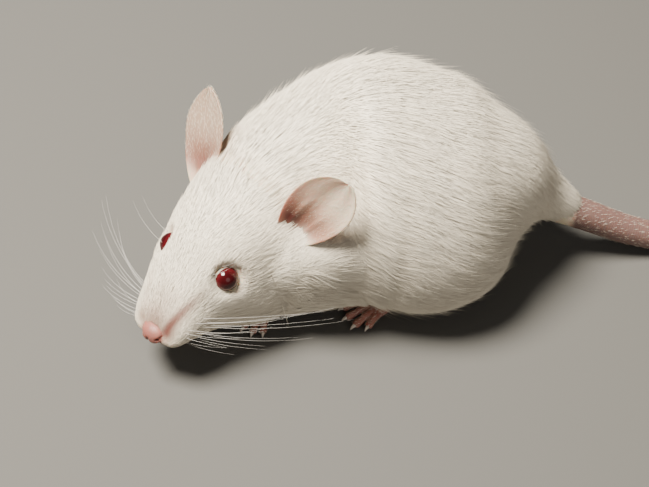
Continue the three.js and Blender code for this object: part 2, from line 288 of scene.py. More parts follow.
# round sections carried along a line, with both ends rounded off as quarter circles
def loftGrid(sections, rows, around, ends=0.5, shrink=0.0):
    last = len(sections) - 1
    v = np.linspace(0, 1, rows)
    t = last * (0.5 * v + 0.25 * (1 - np.cos(np.pi * v)))
    value, _, left, up = lineAt(sections, t)
    a, cap = circle(around)[None], capped(t, last, ends)[:, None]
    wide, above, below = [(value[:, k:k + 1] - shrink) * cap for k in (3, 4, 5)]
    rise = np.sin(a) * np.where(np.sin(a) > 0, above, below)
    return spread(value, left, up, np.cos(a) * wide, rise)


bodyShape = {
    # ahead, rise, wide, above, below, coat
    "head": [[11.7, -1.6, 2.6, 0.8, 1.1, 0.05], [10.7, -1.4, 4.0, 1.2, 1.1, 0.1],
             [8.7, -1.2, 4.9, 3.1, 1.5, 0.18], [5.4, -1.2, 5.8, 5.1, 3.8, 0.26],
             [0.8, -1.2, 7.2, 7.0, 6.7, 0.36], [-4.0, -1.2, 8.6, 8.4, 8.1, 0.48],
             [-10.0, -1.2, 10.2, 8.8, 9.6, 0.62]],
    # x, y, z, wide, above, below, coat
    "trunk": [[-5.2, 7.9, 14.4, 12.1, 11.6, 11.6, 0.8], [0.2, 10.3, 13.4, 15.6, 16.8, 11.8, 0.9],
              [7.0, 10.9, 12.6, 18.2, 18.5, 11.4, 0.95], [14.5, 10.6, 12.4, 17.3, 16.8, 11.2, 0.95],
              [21.5, 10.4, 12.6, 14.9, 14.7, 10.8, 0.95], [26.7, 10.4, 12.8, 9.0, 9.5, 8.0, 0.8],
              [31.5, 10.4, 11.0, 4.3, 4.3, 4.0, 0.85], [37.6, 9.85, 7.3, 2.2, 2.2, 2.2, 0.1]],
    "squareAbove": 2.1, "squareBelow": 2.5, "ends": 0.5,
    # grid rows up to the join, closer together at the snout, and on to the rump's end
    "join": 6.3, "rowsHead": 170, "rowsTrunk": 112, "around": 160,
    # station, share of the width, height, reach and lift of a swelling on both sides
    "swells": [[2.2, 0.9, -1.4, 2.6, 0.3], [4.4, 0.7, -5.0, 5.0, 2.2]],
    # ahead, out, rise, reach, lift on the left and on the right: soft hollows and rises of the face
    "relief": [[0.3, 4.9, 4.9, 1.7, 0.2, 0.2], [4.6, 4.5, 1.4, 1.9, -0.3, -0.3],
               [-1.6, 7.2, -2.4, 2.8, 0.3, 0.3], [11.6, 0.0, -2.7, 0.5, -0.3, 0.0],
               [3.2, 0.0, 4.4, 2.2, -0.15, 0.0], [0.5, 6.3, -0.3, 2.0, 0.0, 0.7],
               [4.6, 5.0, 0.4, 2.2, 0.0, 0.45], [-3.6, 7.8, 0.4, 2.6, 0.0, 0.4]],
}
headRows = [[*headPoint([r[0], 0, r[1]]), *r[2:]] for r in bodyShape["head"]]
bodySections = np.array(headRows + bodyShape["trunk"])
lastStation = len(bodySections) - 1
napeStation = len(headRows)


def bodyLine(t):
    return lineAt(bodySections, t, (headTilt * np.clip(napeStation - t, 0, 1))[..., None])


# pushes points along a direction by a bell round each of some places
def raised(points, out, bells):
    for place, reach, lift in bells:
        points = points + out * (lift * bell(distance(points, place), reach))[..., None]
    return points


# inside the ring round each eye the face flattens to a bed for the lids
def eyeBed(points):
    for side in sides.values():
        looks = eyeAxes(side)[1]
        deep, away = fromEye(points, side)
        off = lengthOf(away)
        weight = (1 - smoothStep(off, *eyeShape["bedRing"])) * (deep > -2)
        points = points + looks * ((eyeShape["bed"] - deep) * weight)[..., None]
    return points


# at station t and angle a: a squared ellipse about the body's line, less the coat's depth
def bodyGrid(t, a):
    value, _, left, up = bodyLine(t)
    cap = capped(t, lastStation, bodyShape["ends"])[:, None]
    wide, above, below = [(value[:, k:k + 1] - value[:, 6:7]) * cap for k in (3, 4, 5)]
    n = np.where(np.sin(a) > 0, bodyShape["squareAbove"], bodyShape["squareBelow"])
    across, rise = squared(np.cos(a), n)[None], squared(np.sin(a), n)[None]
    rise = rise * np.where(rise > 0, above, below)
    points = spread(value, left, up, across * wide, rise)
    out = unit(points - value[:, None, :3])
    bells = []
    for station, share, height, reach, lift in bodyShape["swells"]:
        v, _, l, u = bodyLine(np.array([station]))
        for side in sides.values():
            place = v[0, :3] + l[0] * side * share * v[0, 3] + u[0] * height
            bells.append([place, reach, lift])
    for along, aside, high, reach, *pair in bodyShape["relief"]:
        for side, lift in zip((1, -1) if aside else (1,), pair):
            bells.append([headPoint([along, side * aside, high]), reach, lift])
    return eyeBed(raised(points, out, bells))


# each point's station, from the nearest section, and how far it lies outside the body there
def bodyPlace(points):
    t, batch = np.linspace(0, lastStation, 281), 20000
    value, ahead, left, up = bodyLine(t)
    nearest = np.empty(len(points), int)
    for start in range(0, len(points), batch):
        part = points[start:start + batch, None]
        nearest[start:start + batch] = ((part - value[None, :, :3]) ** 2).sum(-1).argmin(1)
    q = points - value[nearest, :3]
    x, y = (q * left[nearest]).sum(-1), (q * up[nearest]).sum(-1)
    wide = value[nearest, 3] - value[nearest, 6]
    high = np.where(y > 0, value[nearest, 4], value[nearest, 5]) - value[nearest, 6]
    n = np.where(y > 0, bodyShape["squareAbove"], bodyShape["squareBelow"])
    share = (np.abs(x / wide) ** n + np.abs(y / high) ** n) ** (1 / n)
    outside = (share - 1) * np.hypot(x, y) / np.maximum(share, 1e-6)
    along = (q * ahead[nearest]).sum(-1)
    outside = np.where(np.abs(along) > 1.5, np.maximum(outside, np.abs(along)), outside)
    return t[nearest], outside


limbShape = {
    # x, y, z, long, wide, high, turn, slope of the muscle, then the shank's x, y, z, radius
    "foreleg_left": [[0.4, -1.9, 8.4, 8.0, 5.2, 6.8, 0.5, 0.2],
                     [[-2.5, -3.0, 7.0, 4.2], [-6.0, -3.8, 5.6, 3.6],
                      [-8.2, -3.2, 3.6, 2.4], [-8.4, -2.0, 1.9, 1.4]]],
    "foreleg_right": [[-7.0, 16.2, 8.4, 8.0, 5.2, 6.8, 0.5, 0.2],
                      [[-9.6, 15.4, 7.0, 4.2], [-11.8, 13.4, 5.6, 3.6],
                       [-13.0, 11.8, 3.8, 2.5], [-13.3, 10.5, 1.9, 1.4]]],
    "hindleg_left": [[14.4, -0.4, 9.4, 9.6, 7.0, 8.8, 0.05, 0.3],
                     [[10.6, -3.0, 6.0, 3.6], [12.6, -1.6, 4.6, 3.2],
                      [14.4, 0.6, 3.4, 2.5], [15.6, 2.6, 2.2, 1.9]]],
    "hindleg_right": [[14.4, 20.4, 9.4, 9.6, 7.0, 8.8, -0.05, 0.3],
                      [[10.6, 23.0, 6.0, 3.6], [12.6, 21.6, 4.6, 3.2],
                       [14.4, 19.6, 3.4, 2.5], [15.6, 17.8, 2.2, 1.9]]],
}
limbCoat = {"muscle": 0.9, "shank": 0.5, "blend": 5.5}


def muscleFrame(muscle):
    turned = turnAbout("z", muscle[6]) @ turnAbout("y", muscle[7])
    return np.array(muscle[:3]), np.array(muscle[3:6]) - limbCoat["muscle"], turned


# an ellipsoid: the directions of a ball times three radii, turned into place
def muscleGrid(muscle, rows=72):
    centre, radii, turned = muscleFrame(muscle)
    return (ballWays(rows, rows) * radii) @ turned.T + centre


# 1 on the ellipsoid of a muscle and less inside it
def muscleShare(points, muscle):
    centre, radii, turned = muscleFrame(muscle)
    return lengthOf((points - centre) @ turned / radii)


# how far outside a limb each point lies: the nearer of its ellipsoid and its row of balls
def limbPlace(points, limb):
    muscle, shank = limbShape[limb]
    centre, radii, turned = muscleFrame(muscle)
    q = (points - centre) @ turned
    k = muscleShare(points, muscle)
    outside = k * (k - 1) / np.maximum(lengthOf(q / radii**2), 1e-6)
    for x, y, z, r in smoothLine(np.array(shank), np.linspace(0, 3, 25))[0]:
        outside = np.minimum(outside, distance(points, [x, y, z]) - r + limbCoat["shank"])
    return outside


def limbsPlace(points, but=None):
    return np.min([limbPlace(points, limb) for limb in limbShape if limb != but], axis=0)


# normals and the two ways along a grid: down its rows, and round its columns
def gridWays(points):
    down = unit(np.gradient(points, axis=0))
    around = unit(np.roll(points, -1, 1) - np.roll(points, 1, 1))
    normal = unit(np.cross(around, down))
    middle = points.mean(1, keepdims=True)
    normal *= np.where(dot(normal, points - middle).mean() < 0, -1, 1)
    return down, around, normal


# where two skins meet both swell by a quarter of the blend times (1 - gap / blend) squared
def filleted(grid, gap):
    blend = limbCoat["blend"]
    rise = blend / 4 * (1 - np.minimum(np.abs(gap) / blend, 1)) ** 2
    return grid + gridWays(grid)[2] * rise.reshape(grid.shape[:2])[..., None]


# the mean of each point and its neighbours over and over, done twice: two of the first less the
# second smooths creases and keeps the broad forms at their size
def relaxed(made, passes):
    first, second = [pointsOf(softened(made, passes)) for _ in range(2)]
    return 2 * first - second


def movePoints(made, points):
    made.data.vertices.foreach_set("co", ((points + shift) * toMetres).ravel())
    made.data.update()


# a grid laid down on the nearest points of another surface
def draped(grid, core):
    rows, columns = grid.shape[:2]
    made = meshObject("drape", [(grid.reshape(-1, 3), gridFaces(rows, columns),
                                 np.zeros((0, 3), int))])
    wrap = made.modifiers.new("wrap", "SHRINKWRAP")
    wrap.wrap_method, wrap.target = "NEAREST_SURFACEPOINT", core
    points = pointsOf(settle(made)).reshape(grid.shape)
    bpy.data.objects.remove(made)
    return points


print("skin: body and limbs")
join = bodyShape["join"]
headShare = np.linspace(0, 1, bodyShape["rowsHead"])
closer = headShare - 0.35 * np.sin(np.pi * headShare) / np.pi * (1 - headShare)
trunkShare = np.linspace(0, np.pi / 2, bodyShape["rowsTrunk"] + 1)[1:]
stations = np.concatenate([join * closer ** 1.08,
                           join + (lastStation - join) * np.sin(trunkShare) ** 0.98])
angles = circle(bodyShape["around"]) - np.pi / 2
bodyPoints = bodyGrid(stations, angles)
bodyPoints = filleted(bodyPoints, limbsPlace(bodyPoints.reshape(-1, 3)))
limbGrids = {}
for limb, (muscle, shank) in limbShape.items():
    ball = muscleGrid(muscle)
    limbGrids[limb] = [filleted(ball, bodyPlace(ball.reshape(-1, 3))[1]),
                       loftGrid(roundRows(shank), 40, 40, 0.4, limbCoat["shank"])]

# ahead, rise, wide, above, below
jawShape = [[7.8, -5.4, 1.5, 1.2, 1.1], [5.8, -6.0, 2.6, 1.8, 1.5],
            [2.4, -6.7, 3.9, 2.2, 1.9], [-1.6, -7.2, 4.8, 2.4, 2.2]]
jawSections = np.array([[*headPoint([r[0], 0, r[1]]), *r[2:]] for r in jawShape])
jawGrid = loftGrid(jawSections, 44, 56, 0.8, 0.3)

# marks on both sides: height, direction from the nose's middle, width
noseShape = {"at": [10.8, 0, -0.9], "radii": [1.5, 1.9, 1.3], "rows": 64, "around": 84,
             "groove": 0.24, "marks": {"lobe": [0.14, [0.85, 0.42, -0.25], 0.4],
                                       "nostril": [-0.6, [0.62, 0.74, 0.2], 0.2 / 2**0.5],
                                       "tail": [-0.27, [0.3, 1.0, 0.28], 0.2]}}


# a ball about the way ahead with a groove down its middle, a lobe and a comma pit on each side
def noseGrid():
    way = ballWays(noseShape["rows"], noseShape["around"])
    ahead, out, rise = way[..., 0], way[..., 1], way[..., 2]
    lift = -noseShape["groove"] * bell(out, 0.11) * smoothStep(ahead, 0.0, 0.5) \
        * smoothStep(0.55 - rise, 0, 0.4)
    for side in sides.values():
        for high, place, wide in noseShape["marks"].values():
            lift = lift + high * bell(distance(way, unit(np.array(place) * [1, side, 1])), wide)
    place = np.array(noseShape["at"]) + way * (np.array(noseShape["radii"]) + lift[..., None])
    return headPoint(place)


# a ball about the way the eye looks, with a bell of cornea at its front
def eyeGrid(side, gap=0.0, rows=40, around=64):
    place, looks, fore, over = eyeAxes(side)
    cornea = eyeShape["cornea"] * bell(np.linspace(0, np.pi, rows), 0.75)[:, None, None]
    way = ballWays(rows, around) @ np.array([looks, fore, over])
    return place + way * (eyeShape["radius"] + gap + cornea)


# lids: a flattened tube carried round the eye, a little longer fore and aft than high
def lidGrid(side):
    place, looks, fore, over = eyeAxes(side)
    a, b = circle(112)[:, None, None], circle(20)[None, :, None]
    corners = bell(np.sin(a / 2), 0.16) + bell(np.cos(a / 2), 0.16)
    ring = eyeShape["lidRing"] * (1 + eyeShape["lidLong"] * np.cos(2 * a)
                                  + eyeShape["lidCorner"] * corners)
    level = np.sqrt(np.maximum(eyeShape["radius"] ** 2 - ring**2, 0.0)) * 0.9 + 0.08
    off = ring + eyeShape["lidWide"] * np.cos(b)
    return (place + looks * (level + eyeShape["lidHigh"] * np.sin(b) - 0.1 * np.cos(b))
            + (np.cos(a) * fore + np.sin(a) * over) * off)


earShape = {
    # the root's place on the head and the ways the ear points and opens, on the ear's own side
    "at": {"left": [-10.6, 9.6, 4.2], "right": [-11.2, 8.7, 2.5]},
    "long": 12.0, "wide": 4.15, "thick": 0.4, "rim": 0.12, "sunk": 5.0,
    "rootShare": 0.04, "widest": 0.64, "edge": 0.05, "rootCurl": 1.65, "tipCurl": 0.42,
    "point": {"left": 1.0, "right": 1.5},
    "towards": {"left": [-0.5, 0.54, 0.68], "right": [-0.74, 0.3, 0.61]},
    "facing": {"left": [0.86, 0.24, 0.44], "right": [0.67, 0.24, 0.7]},
    "rows": 76, "around": 80,
    # folds inside the cup: share across, from, to along, width, lift
    "folds": [[-0.5, 0.1, 0.5, 0.09, 0.22], [0.42, 0.12, 0.46, 0.1, 0.18],
              [0.02, 0.2, 0.42, 0.09, 0.1]],
    "canal": {"left": [-0.7, -1.3, 1.2], "right": [0.7, 0.2, 0.9], "radii": [1.5, 0.8, 0.8]},
}


def earAxes(name):
    side = np.array([1, sides[name], 1])
    root = headPoint(np.array(earShape["at"][name]) * side)
    axis = unit(headAxes @ (np.array(earShape["towards"][name]) * side))
    opening = headAxes @ (np.array(earShape["facing"][name]) * side)
    opening = unit(opening - (opening @ axis) * axis)
    return root, axis, opening, np.cross(axis, opening)


# each point's place along an ear, towards its opening and edgeways
def fromEar(points, name):
    root, *ways = earAxes(name)
    return [(points - root) @ way for way in ways]


# an oval blade wrapped part of the way round a tube: half its width is the tube's radius times
# the sine of its curl, and folds rise from the inside of the cup as bells across it
def earGrid(name):
    root, axis, opening, edgeways = earAxes(name)
    s = earShape
    v, a = np.linspace(0, 1, s["rows"])[:, None], circle(s["around"])[None]
    along = 1 - (1 - v) ** 1.6
    grow = s["rootShare"] + (1 - s["rootShare"]) * np.sin(0.5 * np.pi * along / s["widest"])
    shut = np.clip(1 - ((along - s["widest"]) / (1 - s["widest"])) ** 2, 0, 1)
    shut = shut ** (0.5 * s["point"][name])
    width = np.where(along < s["widest"], grow, shut)
    half = np.maximum(0.01, s["wide"] * width * np.minimum(1, v / s["edge"]))
    cap = capped(v, 1, s["edge"])
    curl = s["rootCurl"] + (s["tipCurl"] - s["rootCurl"]) * np.minimum(1, along * 1.9)
    radius = half / np.sin(np.minimum(curl, np.pi / 2))
    share, face = squared(np.cos(a), 3), squared(np.sin(a), 3)
    thick = s["thick"] + s["rim"] * smoothStep(np.abs(share), 0.82, 0.97) \
        + 0.5 * s["thick"] * (1 - smoothStep(along, 0.1, 0.5))
    lift = 0 * share * along
    for across, start, stop, wide, high in s["folds"]:
        span = smoothStep(along, start - 0.1, start + 0.1) * (1 - smoothStep(along, stop, stop + .2))
        lift = lift + high * bell(share - across * (1 - 0.4 * along), wide) * span
    ripple = 0.1 * np.sin(7 * share + 3 * along) * smoothStep(along, 0.3, 0.8)
    inner = np.clip(-face, 0, 1) * cap
    turn = curl * share
    reach = radius + face * 0.5 * thick * cap - lift * inner + ripple * (1 - share**2)
    return (root + axis * ((s["long"] + s["sunk"]) * along - s["sunk"])[..., None]
            + edgeways * (reach * np.sin(turn))[..., None]
            + opening * (radius * (1 + np.cos(curl)) / 2 - reach * np.cos(turn))[..., None])


# the ear's passage: an ellipsoid along the ear's axis, sunk in the floor of the cup
def canalGrid(name):
    root, axis, opening, edgeways = earAxes(name)
    centre = root + headAxes @ (np.array(earShape["canal"][name]) * [1, sides[name], 1])
    ball = ballWays(28, 36) * earShape["canal"]["radii"]
    return centre + ball @ np.array([axis, edgeways, opening]), centre


# sizes of a fore foot and a hind foot, with the reach of each toe past the ball
footShape = {
    "fore": {"long": 3.9, "heelWide": 1.15, "ballWide": 1.8, "thick": 1.7, "fan": 0.3,
             "toes": [1.9, 2.6, 2.7, 2.1], "toeRadius": 0.58, "clawLong": 0.6, "cube": 0.12},
    "hind": {"long": 11.0, "heelWide": 1.4, "ballWide": 2.4, "thick": 2.1, "fan": 0.22,
             "toes": [2.4, 4.0, 4.4, 4.2, 2.8], "toeRadius": 0.64, "clawLong": 0.7, "cube": 0.15},
}
# x and y of the heel, and the turn towards the left
footStands = {"fore_left": [-8.0, -1.4, 1.05], "fore_right": [-13.0, 10.2, 0.2],
              "hind_left": [15.0, 2.6, 0.53], "hind_right": [15.0, 18.0, -0.53]}
# a toe from its tip back, by share of its reach, height and size in radii
toeSteps = [[1.0, 0.86, 0.8], [0.86, 0.98, 0.92], [0.6, 1.3, 0.82], [0.4, 1.42, 0.9],
            [0.15, 1.2, 0.92], [-0.3, 1.1, 1.0]]
# a claw from inside the toe to its point: share of its length, drop, share of its radius
clawRadius, clawSteps = 0.3, [[-0.45, -0.06, 1.0], [0.0, -0.1, 0.95], [0.4, -0.06, 0.72],
                              [0.8, 0.08, 0.42], [1.05, 0.26, 0.12]]


# the sole, toes, tendons and pads as shells, the claws, and the lines of sole and toes
def footPieces(name):
    kind, sideName = name.split("_")
    shape, side = footShape[kind], sides[sideName]
    x, y, turn = footStands[name]
    c, s = np.cos(turn), np.sin(turn)

    def onFloor(ahead, out, z):
        return [x - ahead * c + out * s, y - ahead * s - out * c, z]

    long, ball, heel, thick = [shape[k] for k in ("long", "ballWide", "heelWide", "thick")]
    sole = []
    for ahead, wide, high in [[long, ball * 0.9, 0.68], [long * 0.8, ball, 0.84],
                              [long * 0.4, heel, 0.92], [-heel, heel, 0.96]]:
        high = thick * high
        sole.append([*onFloor(ahead, 0, 0.42 * high), wide, 0.58 * high, 0.5 * high])
    lines, shells, claws = [np.array(sole)], [loftGrid(np.array(sole), 40, 40)], []
    middle, r = (len(shape["toes"]) - 1) / 2, shape["toeRadius"]
    for i, reach in enumerate(shape["toes"]):
        angle = side * (i - middle) * shape["fan"]
        base = side * (i - middle) * (ball - r) / middle
        toe = roundRows([[*onFloor(long * 0.86 + reach * share * np.cos(angle),
                                   base + reach * share * np.sin(angle), height * r), size * r]
                         for share, height, size in toeSteps])
        ridge = roundRows([[*onFloor(long * (0.9 - 0.2 * k), base * (1 - 0.12 * k),
                                     thick * (0.56 + 0.06 * k)), 0.5 * r] for k in range(4)])
        shells += [loftGrid(toe, 36, 20, 0.6), loftGrid(ridge, 20, 12)]
        lines.append(toe)
        tip = toe[0, :3]
        way = unit(tip - toe[3, :3]) * [1, 1, 0]
        nail = [[*(tip + way * shape["clawLong"] * share - [0, 0, drop]), clawRadius * size]
                for share, drop, size in clawSteps]
        claws.append(loftGrid(roundRows(nail), 14, 10, 0.3))
    for k in (-1, 0, 1):
        centre = np.array(onFloor(long * 0.84 - 0.25 * abs(k), k * ball * 0.5, 0.34))
        shells.append(centre + ballWays(14, 16) * [0.62, 0.62, 0.4])
    return shells, claws, lines


tailShape = {
    # x, y, z, radius
    "line": [[32.0, 10.0, 9.6, 2.5], [38.0, 9.8, 7.0, 2.35], [45.0, 9.5, 3.9, 2.2],
             [53.0, 9.4, 1.9, 2.0], [63.0, 9.9, 1.6, 1.75], [74.0, 11.4, 1.32, 1.45],
             [85.0, 14.2, 1.03, 1.15], [95.0, 18.2, 0.75, 0.85], [103.0, 22.8, 0.47, 0.55]],
    "rings": 168, "perRing": 3, "around": 22, "coat": 0.05, "ringHigh": 0.05,
}
tailSections = roundRows(tailShape["line"])


# a tapered tube whose radius steps down at the end of each of many short rings
def tailGrid():
    rows = tailShape["rings"] * tailShape["perRing"]
    last = len(tailSections) - 1
    t = np.linspace(0, last, rows)
    value, _, left, up = lineAt(tailSections, t)
    phase = (np.arange(rows) % tailShape["perRing"]) / (tailShape["perRing"] - 1)
    size = value[:, 3] - tailShape["coat"]
    swell = tailShape["ringHigh"] * (phase - 0.5) * size / 2.4 * smoothStep(t, 0.2, 0.8)
    r = ((size + swell) * capped(t, last, 0.3))[:, None]
    a = circle(tailShape["around"])[None]
    return spread(value, left, up, r * np.cos(a), r * np.sin(a))


# the melting cube, and the smoothing: how often, and the stations and heights where it comes in
# behind the face and above the feet, and fades over the rump
coreShape = {"cube": 0.46, "passes": 420, "face": 4.4, "neck": 6.4, "foot": 2.4, "knee": 6.5,
             "rump": 11.4, "tail": 13.2}
# flesh folded between the cheek and the near shoulder: x, y, z, long, wide, high
foldShape = [[2.2, -0.9, 13.0, 9.0, 6.2, 6.8], [-4.2, -1.8, 11.0, 6.0, 5.3, 5.6]]
folds = [[*row[:3], *(np.array(row[3:]) + limbCoat["muscle"]), 0.3, 0.0] for row in foldShape]
foldGrids = [muscleGrid(fold, 48) for fold in folds]
limbPairs = [grid for pair in limbGrids.values() for grid in pair]
skin = melted("skin", [bodyPoints, jawGrid, *foldGrids, *limbPairs], coreShape["cube"])
plain = pointsOf(skin)
coreStation = bodyPlace(plain)[0]
calm = smoothStep(coreStation, coreShape["face"], coreShape["neck"]) \
    * smoothStep(plain[:, 2], coreShape["foot"], coreShape["knee"]) \
    * (1 - 0.8 * smoothStep(coreStation, coreShape["rump"], coreShape["tail"]))
movePoints(skin, plain + (relaxed(skin, coreShape["passes"]) - plain) * calm[:, None])
bodyDraped, jawDraped = draped(bodyPoints, skin), draped(jawGrid, skin)
foldDraped = [draped(grid, skin) for grid in foldGrids]
limbDraped = {limb: [draped(grid, skin) for grid in pair] for limb, pair in limbGrids.items()}
combine(skin, meshObject("nose", [noseGrid()]))
earGrids, canals = {}, {}
for name in sides:
    earGrids[name] = earGrid(name)
    canal, canals[name] = canalGrid(name)
    combine(skin, meshObject("canal", [canal]), "DIFFERENCE")
    combine(skin, meshObject("ear", [earGrids[name]]))
for name, side in sides.items():
    combine(skin, meshObject("lid", [shellOf(lidGrid(side), True)]))
    combine(skin, meshObject("socket", [eyeGrid(side, 0.02, 48, 96)]), "DIFFERENCE")
print("skin: feet and tail")
clawGrids, footLines = [], {}
for name in footStands:
    shells, claws, footLines[name] = footPieces(name)
    clawGrids += claws
    combine(skin, melted("foot", shells, footShape[name.split("_")[0]]["cube"]))
combine(skin, meshObject("tail", [tailGrid()]))
skinPoints = pointsOf(skin)
skinPoints[:, 2] = np.maximum(skinPoints[:, 2], 0.02)  # soles and tail press flat on the floor
skin.data.polygons.foreach_set("use_smooth", np.full(len(skin.data.polygons), True))
movePoints(skin, skinPoints)
print("skin triangles", len(skin.data.loops) - 2 * len(skin.data.polygons))

# pink on skin and coat alike: ahead, out, rise, reach, strength on the left and on the right
flushSpots = [[11.2, 0.0, -1.0, 2.1, 0.95, 0.95], [9.8, 0.0, 0.3, 2.8, 0.65, 0.65],
              [8.2, 0.0, 2.2, 2.6, 0.35, 0.35], [9.4, 1.2, 1.2, 1.3, 0.0, 0.4],
              [-9.6, 8.3, 4.6, 1.7, 0.5, 0.4], [-10.2, 9.2, 2.6, 1.4, 0.5, 0.3]]
# the bare streak from the nostril back along the snout, as one soft line of spots
streak = np.array([[10.4, 2.1, 0.0, 1.2, 1.0, 0.6], [9.6, 2.4, 0.9, 0.95, 1.0, 0.4],
                   [8.4, 2.9, 1.6, 0.8, 0.95, 0.3], [7.0, 3.4, 2.1, 0.75, 0.8, 0.25],
                   [5.7, 3.9, 2.5, 0.7, 0.5, 0.2], [4.6, 4.2, 2.8, 0.7, 0.2, 0.1]])
flushSpots = flushSpots + list(smoothLine(streak, np.linspace(0, 5, 21))[0])
# pink of the ears' cups and the lids: strengths, widths and how far up the ear it goes; the right
# ear's stronger pink is partly painted shade
flushCup = {"left": 0.65, "right": 0.9, "reach": 2.2, "long": 7.5, "lid": 0.5, "lidWide": 0.34}


# pink showing: bells round the nose, the snout's bare streaks, the eyes and the ears' roots
def flushAt(points):
    local = toHead(points)
    flush = np.zeros(len(points))
    for ahead, out, rise, reach, left, right in flushSpots:
        for side, strength in ((1, left), (-1, right)):
            spot = bell(distance(local, [ahead, out * side, rise]), reach)
            flush = np.maximum(flush, strength * spot)
            if not out:
                break
    for name, side in sides.items():
        along, opening, edgeways = fromEar(points, name)
        cup = (1 - smoothStep(along, 0.0, flushCup["long"])) * smoothStep(along, -1.0, 1.0) \
            * bell(np.hypot(edgeways / 2.2, opening), flushCup["reach"])
        deep, away = fromEye(points, side)
        ring = bell(lengthOf(away) - eyeShape["lidRing"], flushCup["lidWide"])
        lid = flushCup["lid"] * ring * (deep > -0.5) * (deep < 3)
        flush = np.maximum.reduce([flush, cup * flushCup[name], lid])
    return np.clip(flush, 0, 1)


# how far out from the nose pad's middle each point lies, 1 at its surface
def noseShare(points):
    return lengthOf((toHead(points) - noseShape["at"]) / np.array(noseShape["radii"]))


# where bare skin begins: height of the feet, x of the tail, nose pad, ear along, ear off the body
bareShape = {"foot": [1.7, 2.6], "tail": [35.2, 36.6], "nose": [1.02, 1.25], "ear": [0.2, 2.0],
             "off": [0.2, 0.9], "earPaleTipAndLight": [2.0, 8.0], "earBox": [4.7, 2.6], "canal": 2.2}


# share of the way out of the fur and onto bare skin (ears, feet, tail, nose), then the shares of
# the ears, the tail, the ears' paler tips (partly painted light) and the right ear's painted shade
def bareAt(points):
    _, outside = bodyPlace(points)
    s = bareShape
    foot = (1 - smoothStep(points[:, 2], *s["foot"])) \
        * smoothStep(np.minimum(limbsPlace(points), outside), 0.1, 0.5)
    tail = smoothStep(points[:, 0], *s["tail"])
    nose = 1 - smoothStep(noseShare(points), *s["nose"])
    ear, tip, paintedShade = np.zeros((3, len(points)))
    for name in sides:
        along, opening, edgeways = fromEar(points, name)
        near = (np.abs(edgeways) < s["earBox"][0]) & (np.abs(opening) < s["earBox"][1])
        one = np.maximum(smoothStep(along, *s["ear"]) * near * smoothStep(outside, *s["off"]),
                         bell(distance(points, canals[name]), s["canal"]))
        # the ears' paler tips: partly their own tone, partly painted light on the self-shaded upper
        # cup
        ear, tip = np.maximum(ear, one), np.maximum(tip, one * smoothStep(along, *s["earPaleTipAndLight"]))
        # the right ear alone gets painted shade
        paintedShade = np.maximum(paintedShade, one * (name == "right"))
    return np.clip(np.maximum.reduce([foot, tail, nose, ear]), 0, 1), ear, tail, tip, paintedShade


def colourLayer(made, name, *channels):
    layer = made.data.color_attributes.new(name, "FLOAT_COLOR", "POINT")
    colours = np.column_stack([*channels, np.ones(len(channels[0]))])
    layer.data.foreach_set("color", colours.astype(np.float32).ravel())


bare, earShare, tailShare, earPaleTipAndLight, earPaintedShade = bareAt(skinPoints)
# painted shade: dark red in the ears' canals and the nostrils' pits
paintedRecessShade = np.zeros(len(skinPoints))
for name, side in sides.items():
    nostril = unit(np.array(noseShape["marks"]["nostril"][1]) * [1, side, 1])
    pit = headPoint(np.array(noseShape["at"]) + nostril * np.array(noseShape["radii"]) * 0.6)
    for place, reach in ((canals[name], 1.7), (pit, 0.42)):
        paintedRecessShade = np.maximum(paintedRecessShade, bell(distance(skinPoints, place), reach))
colourLayer(skin, "skinMarks", bare, flushAt(skinPoints), paintedRecessShade)
colourLayer(skin, "skinParts", earShare, tailShare, earPaleTipAndLight)
# the right ear's painted shade, in all three channels
colourLayer(skin, "earPaintedShade", earPaintedShade, earPaintedShade, earPaintedShade)

eyes = {}
for name, side in sides.items():
    eyes[name] = meshObject("eyeball_" + name, [eyeGrid(side)])
    place, looks, _, _ = eyeAxes(side)
    lean = np.arccos(np.clip(unit(pointsOf(eyes[name]) - place) @ looks, -1, 1))
    ring = smoothStep(lean, 0.45, 0.95)
    colourLayer(eyes[name], "eyeMarks", ring, ring, ring)
clawPiece = meshObject("claws", clawGrids)

coatShape = {
    # by station: length, width, lift in degrees, tufts per square millimetre, gathering of tips
    "stations": [0, 1, 2, 3, 4, 5, 6, 7, 8, 10, 12, 13, 14],
    "length": [0.5, 0.8, 1.1, 1.6, 2.1, 2.6, 3.1, 3.6, 4.0, 4.1, 3.9, 2.9, 1.5],
    "width": [0.06, 0.075, 0.09, 0.1, 0.11, 0.12, 0.125, 0.13, 0.13, 0.13, 0.125, 0.12, 0.1],
    "lift": [10, 12, 14, 15, 15.5, 15.5, 15.5, 15, 14.5, 14.5, 14.5, 15, 9],
    "dense": [76, 74, 64, 54, 48, 44, 41, 37, 34, 32, 34, 38, 44],
    "clump": [0, 0.01, 0.03, 0.05, 0.06, 0.06, 0.06, 0.05, 0.045, 0.045, 0.05, 0.05, 0.03],
    "clumpSize": [2.2, 1.6],  # columns and rows of the body's grid
    # how far the lie sweeps down the sides, by station
    "sweep": [[0, 3, 6, 8, 10, 12, 14], [0.15, 0.1, 0.15, 0.3, 0.5, 0.55, 0.1]],
    # where roots stop: gaps to face, limbs, folds and ears' passages, the lip and the tail's root
    "face": 0.05, "limbs": -0.9, "folds": -1.4, "canal": 1.5, "lip": 12.2, "tail": 36.2,
    # a tuft's reach over its length: outside these it is torn or bunched by a fold
    "least": 0.12, "most": 1.6,
    # stray guard hairs: their share, and how much longer, thinner and more lifted they are
    "stray": [0.03, 1.35, 0.5, 0.11],
    "bands": {"muzzle": [0, 3.2], "face": [3.2, 5.0], "crown": [5.0, 6.6], "nape": [6.6, 8.0],
              "shoulders": [8.0, 9.0], "ribs": [9.0, 10.0], "loin": [10.0, 11.2],
              "rump": [11.2, 14.1]},
}


def coatValue(name, station):
    return np.interp(station, coatShape["stations"], coatShape[name])


